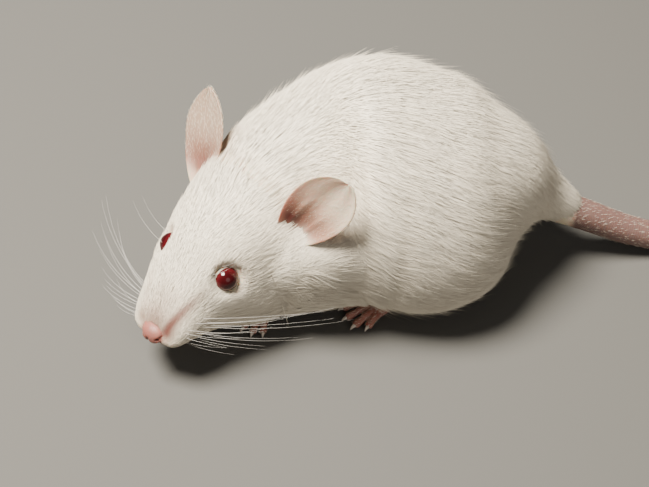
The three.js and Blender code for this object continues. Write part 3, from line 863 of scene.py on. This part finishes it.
# a grid's values at rows and columns in between, straight from point to point
def onGrid(values, row, column):
    rows, columns = values.shape[:2]
    i = np.clip(np.floor(row), 0, rows - 2).astype(int)
    j = np.floor(column).astype(int)
    s, t = np.clip(row - i, 0, 1)[:, None], (column - j)[:, None]
    j, k = j % columns, (j + 1) % columns
    return (values[i, j] * (1 - t) + values[i, k] * t) * (1 - s) \
        + (values[i + 1, j] * (1 - t) + values[i + 1, k] * t) * s


# places on a grid, spread by area times a density per square millimetre
def scatter(grid, density, seed):
    rng = np.random.default_rng(seed)
    down, around, normal = gridWays(grid)
    a, b = grid[:-1], np.roll(grid, -1, 1)[:-1]
    c, d = grid[1:], np.roll(grid, -1, 1)[1:]
    area = 0.5 * lengthOf(np.cross(c - b, d - a))
    mean = (density[:-1] + density[1:]) / 2 * area
    count = int(mean.sum())
    steps = (np.arange(count) + rng.random(count)) * mean.sum() / count
    chosen = np.searchsorted(np.cumsum(mean.ravel()), steps)
    i, j = np.divmod(np.minimum(chosen, mean.size - 1), grid.shape[1])
    row, column = i + rng.random(count), j + rng.random(count)
    return {"at": onGrid(grid, row, column), "normal": unit(onGrid(normal, row, column)),
            "down": unit(onGrid(down, row, column)), "around": unit(onGrid(around, row, column)),
            "row": row, "column": column, "rng": rng}


# follows the skin from each root along its lie: its place and normal at the ring and at the tip
def follow(tufts, grid, lastRow):
    down, _, normal = gridWays(grid)
    pitch = lengthOf(np.gradient(grid, axis=0))[..., None]
    lap = lengthOf(np.roll(grid, -1, 1) - np.roll(grid, 1, 1))[..., None] / 2
    row, column, lie = tufts["row"], tufts["column"], tufts["lie"]
    a, b, c = dot(lie, tufts["down"]), dot(lie, tufts["around"]), dot(tufts["down"], tufts["around"])
    square = np.maximum(1 - c**2, 0.2)
    goDown = ((a - b * c) / square / np.maximum(onGrid(pitch, row, column), 0.02))[:, 0]
    goAround = ((b - a * c) / square / np.maximum(onGrid(lap, row, column), 0.02))[:, 0]
    for key, share in (("ring", tuftShape["ring"]), ("tip", 1.0)):
        far = tufts["length"] * share
        newRow = np.clip(row + far * goDown, 0, lastRow)
        newColumn = column + np.clip(far * goAround, -15, 15)
        spare = np.maximum(row + far * goDown - lastRow, 0)[:, None]
        tufts[key] = onGrid(grid, newRow, newColumn) \
            + spare * onGrid(down * pitch, newRow, newColumn)
        tufts[key + "Normal"] = unit(onGrid(normal, newRow, newColumn))


# each tuft: from a root under the skin it widens to a three-sided ring and narrows to its tip,
# and stands off the skin by its length times rise and share, less a bend times the share squared
tuftShape = {"root": 0.1, "ring": 0.42, "ridge": 0.4, "patch": 0.003, "round": 0.65}


def tuftMesh(tufts):
    at, normal, length = tufts["at"], tufts["normal"], tufts["length"][:, None]
    rise, bend = np.tan(tufts["lift"])[:, None], tufts["bend"][:, None]
    half, s = tufts["width"][:, None] / 2, tuftShape["ring"]
    start = at - normal * tuftShape["root"]
    ring = tufts["ring"] + tufts["ringNormal"] * length * s * (rise - bend * s)
    tip = tufts["tip"] + tufts["tipNormal"] * length * (rise - bend)
    across = unit(np.cross(tufts["ringNormal"], tip - start))
    over = unit(np.cross(tip - start, across))
    points = np.stack([start, ring - across * half, ring + across * half,
                       ring + over * half * 2 * tuftShape["ridge"], tip], 1)
    tilt, normal = across * tuftShape["round"], tufts["ringNormal"]
    shading = unit(np.stack([tufts["normal"], normal - tilt, normal + tilt, normal,
                             tufts["tipNormal"]], 1))
    tris = np.array([[0, 1, 2], [0, 2, 3], [0, 3, 1], [4, 2, 1], [4, 3, 2], [4, 1, 3]])
    tris = (tris + (np.arange(len(at)) * 5)[:, None, None]).reshape(-1, 3)
    return points.reshape(-1, 3), tris, shading.reshape(-1, 3)


# one coat piece from its tufts: mesh, colour layer and the small patch of each tuft on the unwrap
def coatPiece(name, tufts):
    reach = distance(tufts["tip"], tufts["at"]) / tufts["length"]
    tufts = keepOnly(tufts, (reach < coatShape["most"]) & (reach > coatShape["least"]))
    points, tris, shading = tuftMesh(tufts)
    points[:, 2] = np.maximum(points[:, 2], 0.03)
    made = meshObject(name, [(points, np.zeros((0, 4), int), tris)])
    made.data.normals_split_custom_set_from_vertices(shading)
    count = len(tufts["at"])
    rng = np.random.default_rng(count)
    ringShare = tuftShape["ring"]
    along = np.tile([0.0, ringShare, ringShare, ringShare, 1.0], count)
    side = np.tile([0.0, -0.5, 0.5, 0.0, 0.0], count)
    colourLayer(made, "coatMarks", np.repeat(rng.random(count), 5), along,
                np.repeat(flushAt(tufts["at"]), 5))
    uv = np.repeat(tufts["uv"], 5, axis=0) \
        + np.column_stack([side, along - 0.5]) * tuftShape["patch"]
    corners = np.empty(len(made.data.loops), np.int32)
    made.data.loops.foreach_get("vertex_index", corners)
    layer = made.data.uv_layers.new(name="OFBake")
    layer.data.foreach_set("uv", np.clip(uv, 0, 1)[corners].astype(np.float32).ravel())
    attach(made, "root")
    print("coat", name, count, "tufts,", count * 6, "triangles")
    return made


# a way turned to lie flat on the skin
def laid(way, normal):
    return unit(way - dot(way, normal) * normal)


# tips gather towards a random place in the patch of the skin that each root falls in
def gathered(roots, strength):
    wide, tall = coatShape["clumpSize"]
    u, v = roots["column"] / wide, roots["row"] / tall
    i, j = np.floor(u), np.floor(v)
    wobble = np.sin(i * 12.9898 + j * 78.233) * 43758.5453
    wobble2 = np.sin(i * 39.346 + j * 11.135) * 24634.6345
    x = (i + 0.3 + 0.4 * (wobble % 1) - u) * 1.2
    y = (j + 0.3 + 0.4 * (wobble2 % 1) - v) * 1.6
    pull = roots["around"] * x[:, None] + roots["down"] * y[:, None] * 0.3
    return unit(roots["lie"] * roots["length"][:, None] + pull * strength[:, None])


def keepOnly(roots, mask):
    return {k: (v[mask] if isinstance(v, np.ndarray) and len(v) == len(mask) else v)
            for k, v in roots.items()}


# how far each point is from the eyes' rims and the nose pad
def clearOfFace(points):
    clear = np.full(len(points), 9.0)
    for side in sides.values():
        deep, away = fromEye(points, side)
        gap = lengthOf(away) - eyeShape["lidRing"] - 0.08
        clear = np.minimum(clear, np.where(deep > -1, gap, 9))
    return np.minimum(clear, (noseShare(points) - 1) * 1.2 + 0.1)


# how far points lie outside the flesh folded between cheek and shoulder
def foldPlace(points):
    return np.min([(muscleShare(points, fold) - 1) * min(fold[3:6]) for fold in folds], axis=0)


print("coat: body")
roots = scatter(bodyDraped, coatValue("dense", stations)[:, None] * np.ones(len(angles)), 11)
at = roots["at"]
roots["station"] = np.interp(roots["row"], np.arange(len(stations)), stations)
roots["angle"] = angles[0] + roots["column"] * 2 * np.pi / len(angles)
roots["clear"] = clearOfFace(at)
plain, local = onGrid(bodyPoints, roots["row"], roots["column"]), toHead(at)
inCanal = np.min([distance(at, place) for place in canals.values()], axis=0)
thin = roots["rng"].random(len(at)) < 0.5 * flushAt(at) * (np.abs(local[:, 1]) > 1.5)
keep = (roots["clear"] > coatShape["face"]) & (limbsPlace(plain) > coatShape["limbs"]) \
    & (foldPlace(plain) > coatShape["folds"]) & (inCanal > coatShape["canal"]) & ~thin \
    & (local[:, 0] < coatShape["lip"]) & (at[:, 0] < coatShape["tail"])
roots = keepOnly(roots, keep)
rng, at, station, angle = [roots[key] for key in ("rng", "at", "station", "angle")]
n = len(station)

# the lie runs tailwards, and sweeps down the sides with the cosine of the angle
sweep = -np.interp(station, *coatShape["sweep"]) * np.tanh(2.2 * np.cos(angle)) \
    * np.where(np.sin(angle) < -0.3, 0.4, 1.0)
sweep = sweep + 0.1 * softNoise(at, 10, 1) + 0.06 * softNoise(at, 3.2, 2) + rng.normal(0, .09, n)
lie = unit(roots["down"] * np.cos(sweep)[:, None] + roots["around"] * np.sin(sweep)[:, None])
for side in sides.values():  # hair parts round each eye
    deep, away = fromEye(at, side)
    reach = lengthOf(away)
    weight = bell(np.maximum(reach - 1.9, 0), 0.9) * (deep > -1)
    lie = unit(lie + unit(away) * (weight * 0.9)[:, None])
roots["lie"] = laid(lie, roots["normal"])
nearBare = np.clip(0.45 + 0.4 * roots["clear"], 0.4, 1)
roots["length"] = coatValue("length", station) * rng.uniform(0.75, 1.2, n) * nearBare
roots["width"] = coatValue("width", station) * rng.uniform(0.75, 1.25, n) * nearBare**0.5
roots["lift"] = np.radians(coatValue("lift", station) * rng.uniform(0.7, 1.3, n)
                           + 1.5 * softNoise(at, 5, 3))
roots["bend"] = 0.35 * np.tan(roots["lift"]) * rng.uniform(0.6, 1.4, n)
roots["lie"] = gathered(roots, coatValue("clump", station))
roots["uv"] = np.column_stack([0.02 + 0.76 * (roots["column"] / len(angles)),
                               0.02 + 0.96 * station / lastStation])
share, longer, thinner, lifted = coatShape["stray"]
stray = (rng.random(n) < share * smoothStep(station, 5, 7.5)) & (station < 12.8)
roots["length"] = roots["length"] * np.where(stray, longer, 1)
roots["width"] = roots["width"] * np.where(stray, thinner, 1)
roots["lift"] = roots["lift"] + np.where(stray, lifted, 0)
follow(roots, bodyDraped, np.searchsorted(stations, lastStation - 0.3))
coats = []
for name, (low, high) in coatShape["bands"].items():
    band = keepOnly(roots, (roots["station"] >= low) & (roots["station"] < high))
    coats.append(coatPiece("coat_" + name, band))

print("coat: limbs and jaw")
# tufts per square millimetre, length (or a sum worked out below), width, lift in degrees
coverShape = {"thigh": [28, "leg", 0.13, 17], "shank": [40, "shank", 0.08, 14],
              "fold": [40, 2.7, 0.11, 14], "jaw": [58, 1.3, 0.07, 13],
              "ear": [6, 0.75, 0.045, 20], "foot": [7, 0.7, 0.05, 18], "tail": [2.2, 0.8, 0.032, 12]}
coverLengths = {"leg": lambda p: 1.2 + 3.0 * smoothStep(p[:, 2], 2.0, 9.0),
                "shank": lambda p: 0.8 + 0.22 * p[:, 2]}


# tufts over a smaller grid, with a way to lie, a box on the unwrap, and a test of the places kept,
# made on the grid as it was before it was laid on the skin
def coverGrid(kind, grid, seed, way, box, keep, plain=None):
    density, length, width, lift = coverShape[kind]
    tufts = scatter(grid, np.full(grid.shape[:2], float(density)), seed)
    place = onGrid(grid if plain is None else plain, tufts["row"], tufts["column"])
    tufts = keepOnly(tufts, keep(place))
    rng, at, count = tufts["rng"], tufts["at"], len(tufts["at"])
    lie = (way(at) if callable(way) else way) + 0.1 * rng.normal(size=(count, 3)) \
        + 0.07 * np.stack([softNoise(at, 3, s) for s in (5, 6, 7)], -1)
    tufts["lie"] = laid(lie, tufts["normal"])
    length = coverLengths[length](at) if length in coverLengths else length
    tufts["length"] = length * rng.uniform(0.75, 1.2, count)
    tufts["width"] = width * rng.uniform(0.75, 1.25, count)
    tufts["lift"] = np.radians(lift * rng.uniform(0.7, 1.3, count))
    tufts["bend"] = 0.35 * np.tan(tufts["lift"])
    follow(tufts, grid, grid.shape[0] - 1)
    u0, u1, v0, v1 = box
    tufts["uv"] = np.column_stack([u0 + (u1 - u0) * tufts["column"] / grid.shape[1],
                                   v0 + (v1 - v0) * tufts["row"] / grid.shape[0]])
    return tufts


def merged(parts):
    keys = ("at", "normal", "length", "width", "lift", "bend", "uv", "ring", "ringNormal",
            "tip", "tipNormal")
    return {k: np.concatenate([p[k] for p in parts]) for k in keys}


def legClear(points, limb):
    return (bodyPlace(points)[1] > -0.9) & (limbsPlace(points, limb) > -0.6) \
        & (points[:, 2] > 1.2) & (foldPlace(points) > coatShape["folds"])


def shankClear(points, limb):
    return legClear(points, limb) & (muscleShare(points, limbShape[limb][0]) > 0.93) \
        & (points[:, 2] > 1.9)


def legWay(points):
    _, ahead, _, up = bodyLine(bodyPlace(points)[0])
    return -ahead - up * (0.4 + 0.9 * smoothStep(7 - points[:, 2], 0, 5))[:, None]


def foldWay(points):
    _, ahead, _, up = bodyLine(bodyPlace(points)[0])
    return -ahead - 0.25 * up


def foldClear(points):
    return (bodyPlace(points)[1] > -0.7) & (limbsPlace(points) > -0.7) & (points[:, 2] > 2)


legTufts, jawTufts, downTufts = [], [], []
for number, (limb, (ball, tube)) in enumerate(limbGrids.items()):
    v0 = 0.02 + 0.16 * number
    legTufts.append(coverGrid("thigh", limbDraped[limb][0], 21 + number, legWay,
                              [0.8, 0.98, v0, v0 + 0.09], lambda p: legClear(p, limb), ball))
    legTufts.append(coverGrid("shank", limbDraped[limb][1], 31 + number, legWay,
                              [0.8, 0.98, v0 + 0.1, v0 + 0.15], lambda p: shankClear(p, limb), tube))
jawTufts.append(coverGrid("jaw", jawDraped, 41, headAxes @ [-1.0, 0.0, -0.15],
                          [0.8, 0.98, 0.7, 0.8], lambda p: bodyPlace(p)[1] > -0.2, jawGrid))
for number, (grid, plain) in enumerate(zip(foldDraped, foldGrids)):
    v0 = 0.64 + 0.03 * number
    jawTufts.append(coverGrid("fold", grid, 45 + number, foldWay, [0.8, 0.98, v0, v0 + 0.02],
                              foldClear, plain))
for name, parts in (("forelegs", legTufts[:4]), ("hindlegs", legTufts[4:]), ("jaw", jawTufts)):
    coats.append(coatPiece("coat_" + name, merged(parts)))

# fine down: ears on both faces, upper faces of the feet, and between the tail's rings
for number, name in enumerate(sides):
    v0 = 0.82 + 0.08 * number
    downTufts.append(coverGrid("ear", earGrids[name], 51 + number, earAxes(name)[1],
                               [0.8, 0.88, v0, v0 + 0.06], lambda p: fromEar(p, name)[0] > 0.8))
for number, (name, (_, _, turn)) in enumerate(footStands.items()):
    for line in footLines[name]:
        downTufts.append(coverGrid("foot", loftGrid(line, 24, 20), 61 + number,
                                   np.array([-np.cos(turn), -np.sin(turn), -0.1]),
                                   [0.9, 0.98, 0.82, 0.9], lambda p: p[:, 2] > 0.75))
downTufts.append(coverGrid("tail", tailGrid(), 71, np.array([1.0, 0.15, 0.0]),
                           [0.9, 0.98, 0.92, 0.98], lambda p: (p[:, 0] > 34.5) & (p[:, 2] > 0.15)))
coats.append(coatPiece("coat_down", merged(downTufts)))

whiskerShape = {
    # place ahead and rise of the first hair, and the steps back along a row and down to the next
    "first": [9.6, 0.2], "back": 1.05, "down": 0.75,
    "rows": 4, "each": 4, "long": [8, 18], "thick": 0.033, "steps": 14, "sides": 5,
    # how far out the lip is, by place ahead
    "lip": [[4, 6, 8, 10], [5.4, 5.1, 4.5, 3.2]],
    # how far the first hair leans ahead and up on each side
    "lean": {"left": [-0.22, 0.0], "right": [0.3, 0.3]},
    # hairs of the brow: ahead, out, rise, length, and their thickness
    "brow": [[1.2, 4.6, 4.8, 7], [-0.4, 5.0, 4.9, 6]], "browThick": 0.045,
}


# a tapered hair: starts out of the lip and bends back and down with the square of the way along
def whisker(start, way, bendWay, long, thick):
    s = np.linspace(0, 1, whiskerShape["steps"])
    line = start + way * (long * s)[:, None] + bendWay * (long * s**2)[:, None]
    r = thick / 2 * (1 - 0.8 * s)
    return loftGrid(np.column_stack([line, r, r, r]), whiskerShape["steps"] + 4,
                    whiskerShape["sides"], 0.3)


print("whiskers")
rng = np.random.default_rng(8)
whiskers = []
for name, side in sides.items():
    lead, drop = whiskerShape["lean"][name]
    for row in range(whiskerShape["rows"]):
        for k in range(whiskerShape["each"]):
            ahead = whiskerShape["first"][0] - whiskerShape["back"] * k + rng.normal(0, 0.15)
            rise = whiskerShape["first"][1] - whiskerShape["down"] * row + 0.1 * k
            out = np.interp(ahead, *whiskerShape["lip"]) - 0.18 * abs(row - 2)
            long = np.interp(k, [0, 3], whiskerShape["long"]) * rng.uniform(0.75, 1.0)
            fan = np.array([lead - 0.14 * k, side * 0.95, drop - 0.17 * row])
            way = headAxes @ unit(fan + rng.normal(0, 0.06, 3))
            bend = headAxes @ np.array([-0.28, 0, -0.1]) + rng.normal(0, 0.04, 3)
            hair = whisker(headPoint([ahead, side * out, rise]), way, bend, long,
                           whiskerShape["thick"])
            hair[..., 2] = np.maximum(hair[..., 2], 0.3)
            whiskers.append(hair)
    for ahead, out, rise, long in whiskerShape["brow"]:
        way = headAxes @ unit(np.array([0.1, side * 0.7, 0.75]))
        whiskers.append(whisker(headPoint([ahead, side * out, rise]), way,
                                headAxes @ [-0.3, 0, 0], long, whiskerShape["browThick"]))
whiskerPiece = meshObject("whiskers", whiskers)


# puts a value, or another node's output, into an input
def plug(tree, socket, value):
    if isinstance(value, bpy.types.NodeSocket):
        tree.links.new(value, socket)
    else:
        socket.default_value = value


def mixed(tree, factor, a, b):
    made = tree.nodes.new("ShaderNodeMix")
    made.data_type = "RGBA"
    for k, value in ((0, factor), (6, a), (7, b)):
        plug(tree, made.inputs[k], value)
    return made.outputs[2]


def counted(tree, how, a, b):
    made = tree.nodes.new("ShaderNodeMath")
    made.operation = how
    for socket, value in zip(made.inputs, (a, b)):
        plug(tree, socket, value)
    return made.outputs[0]


# the first channels of a colour layer
def marks(tree, name, count=3):
    read, parts = [tree.nodes.new("ShaderNode" + kind) for kind in ("Attribute", "SeparateColor")]
    read.attribute_name = name
    tree.links.new(read.outputs["Color"], parts.inputs[0])
    return parts.outputs[:count]


# mottle: two sizes of soft noise on object coordinates, out as a mask and as a fine height
def mottleGroup():
    group = bpy.data.node_groups.new("mottle", "ShaderNodeTree")
    for name, way in (("Size", "INPUT"), ("Fine", "INPUT"), ("Patch", "OUTPUT"),
                      ("Grain", "OUTPUT")):
        group.interface.new_socket(name, in_out=way, socket_type="NodeSocketFloat")
    inside, outside = group.nodes.new("NodeGroupInput"), group.nodes.new("NodeGroupOutput")
    place = group.nodes.new("ShaderNodeTexCoord")
    for source, target, detail in (("Size", "Patch", 3.0), ("Fine", "Grain", 4.0)):
        noise = group.nodes.new("ShaderNodeTexNoise")
        noise.inputs["Detail"].default_value = detail
        group.links.new(place.outputs["Object"], noise.inputs["Vector"])
        group.links.new(inside.outputs[source], noise.inputs["Scale"])
        group.links.new(noise.outputs["Fac"], outside.inputs[target])
    return group


mottle = mottleGroup()


def mottled(tree, size, fine):
    made = tree.nodes.new("ShaderNodeGroup")
    made.node_tree = mottle
    made.inputs["Size"].default_value, made.inputs["Fine"].default_value = size, fine
    return made.outputs


# a material from its sums: base gets the node tree and gives the colour; the rest are values
def material(name, base, **values):
    made = bpy.data.materials.new(name)
    made.use_nodes = True
    tree, shader = made.node_tree, made.node_tree.nodes["Principled BSDF"]
    values["Base Color"] = base(tree, shader) if callable(base) else base
    for key, value in values.items():
        plug(tree, shader.inputs[key.replace("_", " ")], value)
    return made


# the deep coat tone is painted shade towards the tufts' roots, and also the tone of a few dim tufts
# at random
colours = {"coat": (0.92, 0.82, 0.66, 1), "coatShadeAndDimTone": (0.66, 0.56, 0.43, 1),
           "coatTip": (0.96, 0.88, 0.73, 1), "flush": (0.19, 0.058, 0.047, 1),
           # the rim tone is the ear's paler rim, lifted further as painted light on the self-shaded
           # upper cup
           "ear": (0.54, 0.32, 0.22, 1), "earRimToneAndLight": (0.78, 0.66, 0.50, 1),
           # the ear shade tone is painted shade on the right ear
           "earPaintedShade": (0.25, 0.17, 0.12, 1), "foot": (0.44, 0.19, 0.15, 1),
           # the dark tone is painted shade in the ears' canals and the nostrils' pits
           "tail": (0.175, 0.10, 0.086, 1), "recessShade": (0.12, 0.009, 0.007, 1),
           "underCoat": (0.80, 0.67, 0.50, 1), "pupil": (0.035, 0.002, 0.003, 1),
           "iris": [(0.06, 0.004, 0.006, 1), (0.09, 0.006, 0.009, 1)],
           "claw": [(0.72, 0.60, 0.50, 1), (0.85, 0.76, 0.66, 1)],
           "whisker": [(0.80, 0.76, 0.70, 1), (0.92, 0.90, 0.86, 1)]}


# tufts darken towards their roots as painted shade deep in the coat, a few of them whole at random,
# and take the pink where it shows
def furBase(tree, _):
    tint, along, flushed = marks(tree, "coatMarks")
    patch, _ = mottled(tree, 90.0, 900.0)
    base = mixed(tree, counted(tree, "POWER", along, 0.6), colours["coatShadeAndDimTone"], colours["coatTip"])
    for mask, share, tone in ((counted(tree, "POWER", tint, 3.0), 0.4, "coatShadeAndDimTone"),
                              (patch, 0.25, "coat"), (flushed, 0.95, "flush")):
        base = mixed(tree, counted(tree, "MULTIPLY", mask, share), base, colours[tone])
    return base


def skinBase(tree, shader):
    bareMask, flushMask, recessShadeMask = marks(tree, "skinMarks")
    earMask, tailMask, paleTipAndLightMask = marks(tree, "skinParts")
    patch, grain = mottled(tree, 260.0, 2600.0)
    bump = tree.nodes.new("ShaderNodeBump")
    for key, value in (("Height", grain), ("Strength", 0.35), ("Distance", 0.0001)):
        plug(tree, bump.inputs[key], value)
    plug(tree, shader.inputs["Normal"], bump.outputs[0])
    # ears pale towards their tips: partly their own tone, partly painted light on the self-shaded
    # upper cup
    ear = mixed(tree, paleTipAndLightMask, colours["ear"], colours["earRimToneAndLight"])
    # the right ear is darkened with painted shade
    for mask, share, tone in ((marks(tree, "earPaintedShade", 1)[0], 0.8, "earPaintedShade"),
                              (patch, 0.3, "ear")):
        ear = mixed(tree, counted(tree, "MULTIPLY", mask, share), ear, colours[tone])
    bare = mixed(tree, earMask, colours["foot"], ear)
    bare = mixed(tree, tailMask, bare, colours["tail"])
    base = mixed(tree, bareMask, colours["underCoat"], bare)
    # pink, then the painted shade of the canals and nostril pits
    for mask, tone in ((flushMask, "flush"), (recessShadeMask, "recessShade")):
        base = mixed(tree, mask, base, colours[tone])
    return base


def eyeBase(tree, _):
    iris = mixed(tree, mottled(tree, 900.0, 4000.0)[0], *colours["iris"])
    return mixed(tree, marks(tree, "eyeMarks", 1)[0], colours["pupil"], iris)


furLook = material("white fur", furBase, Roughness=0.5, Specular_IOR_Level=0.3)
skinLook = material("mouse skin", skinBase, Roughness=0.5, Subsurface_Weight=0.45,
                    Subsurface_Radius=(1.0, 0.35, 0.2), Subsurface_Scale=0.0012)
eyeLook = material("ruby eye", eyeBase, Roughness=0.12, Specular_IOR_Level=0.35,
                   Coat_Weight=0.2, Coat_Roughness=0.04)
clawLook = material("claw", lambda tree, _: mixed(tree, mottled(tree, 700.0, 5000.0)[0],
                                                  *colours["claw"]), Roughness=0.35)
whiskerLook = material("whisker", lambda tree, _: mixed(tree, mottled(tree, 500.0, 3000.0)[0],
                                                        *colours["whisker"]), Roughness=0.4)
floorLook = material("pale floor", (0.10, 0.097, 0.09, 1), Roughness=0.8)

for piece in coats:
    piece.data.materials.append(furLook)
for name, piece in eyes.items():
    piece.data.materials.append(eyeLook)
    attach(piece, "root")
    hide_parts("eye_" + name)
for piece, look, slot in ((skin, skinLook, "bare_skin"), (clawPiece, clawLook, "bare_skin"),
                          (whiskerPiece, whiskerLook, "fur")):
    piece.data.materials.clear()
    piece.data.materials.append(look)
    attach(piece, "root")
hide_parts(*[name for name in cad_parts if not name.startswith("eye_")])

floorMesh = bpy.data.meshes.new("floor")
floorMesh.from_pydata([(-3, -3, -5e-5), (3, -3, -5e-5), (3, 3, -5e-5), (-3, 3, -5e-5)], [],
                      [(0, 1, 2, 3)])
floorMesh.materials.append(floorLook)
placed("floor", floorMesh)

world = bpy.data.worlds.new("soft room")
world.use_nodes = True
world.node_tree.nodes["Background"].inputs[0].default_value = (1.0, 0.97, 0.92, 1)
world.node_tree.nodes["Background"].inputs[1].default_value = 0.15
bpy.context.scene.world = world


def softLight(name, place, aim, size, power, colour):
    light = bpy.data.lights.new(name, "AREA")
    light.shape, light.size, light.energy, light.color = "DISK", size, power, colour
    made = placed(name, light)
    made.location = place
    made.rotation_euler = (Vector(aim) - Vector(place)).to_track_quat("-Z", "Y").to_euler()


# place, size, power and colour of each light; all look at one point
lightAim = (-0.02, 0.0, 0.012)
lights = {"key": [(-0.17, 0.01, 0.37), 0.16, 6.8, (1.0, 0.94, 0.83)],
          "fill": [(0.25, -0.5, 0.40), 0.5, 0.7, (1.0, 0.96, 0.9)]}
for name, (place, size, power, colour) in lights.items():
    softLight(name, place, lightAim, size, power, colour)

# the picture is 649 pixels wide and its lens 1400 pixels long, on a sensor of 36 mm
view = {"elevation": 50.0, "target": [0.0, 0.0, 12.0], "distance": 195.0, "lens": 1400.0 / 649 * 36}
camera = bpy.data.cameras.new("camera")
camera.lens, camera.sensor_width, camera.clip_start = view["lens"], 36.0, 0.01
eyeline = placed("camera", camera)
tall = np.radians(view["elevation"])
back = np.array([0, -np.cos(tall), np.sin(tall)])
target = (np.array(view["target"]) + shift) * toMetres
eyeline.location = target + back * view["distance"] * toMetres
eyeline.rotation_euler = Vector(-back).to_track_quat("-Z", "Y").to_euler()
bpy.context.scene.camera = eyeline
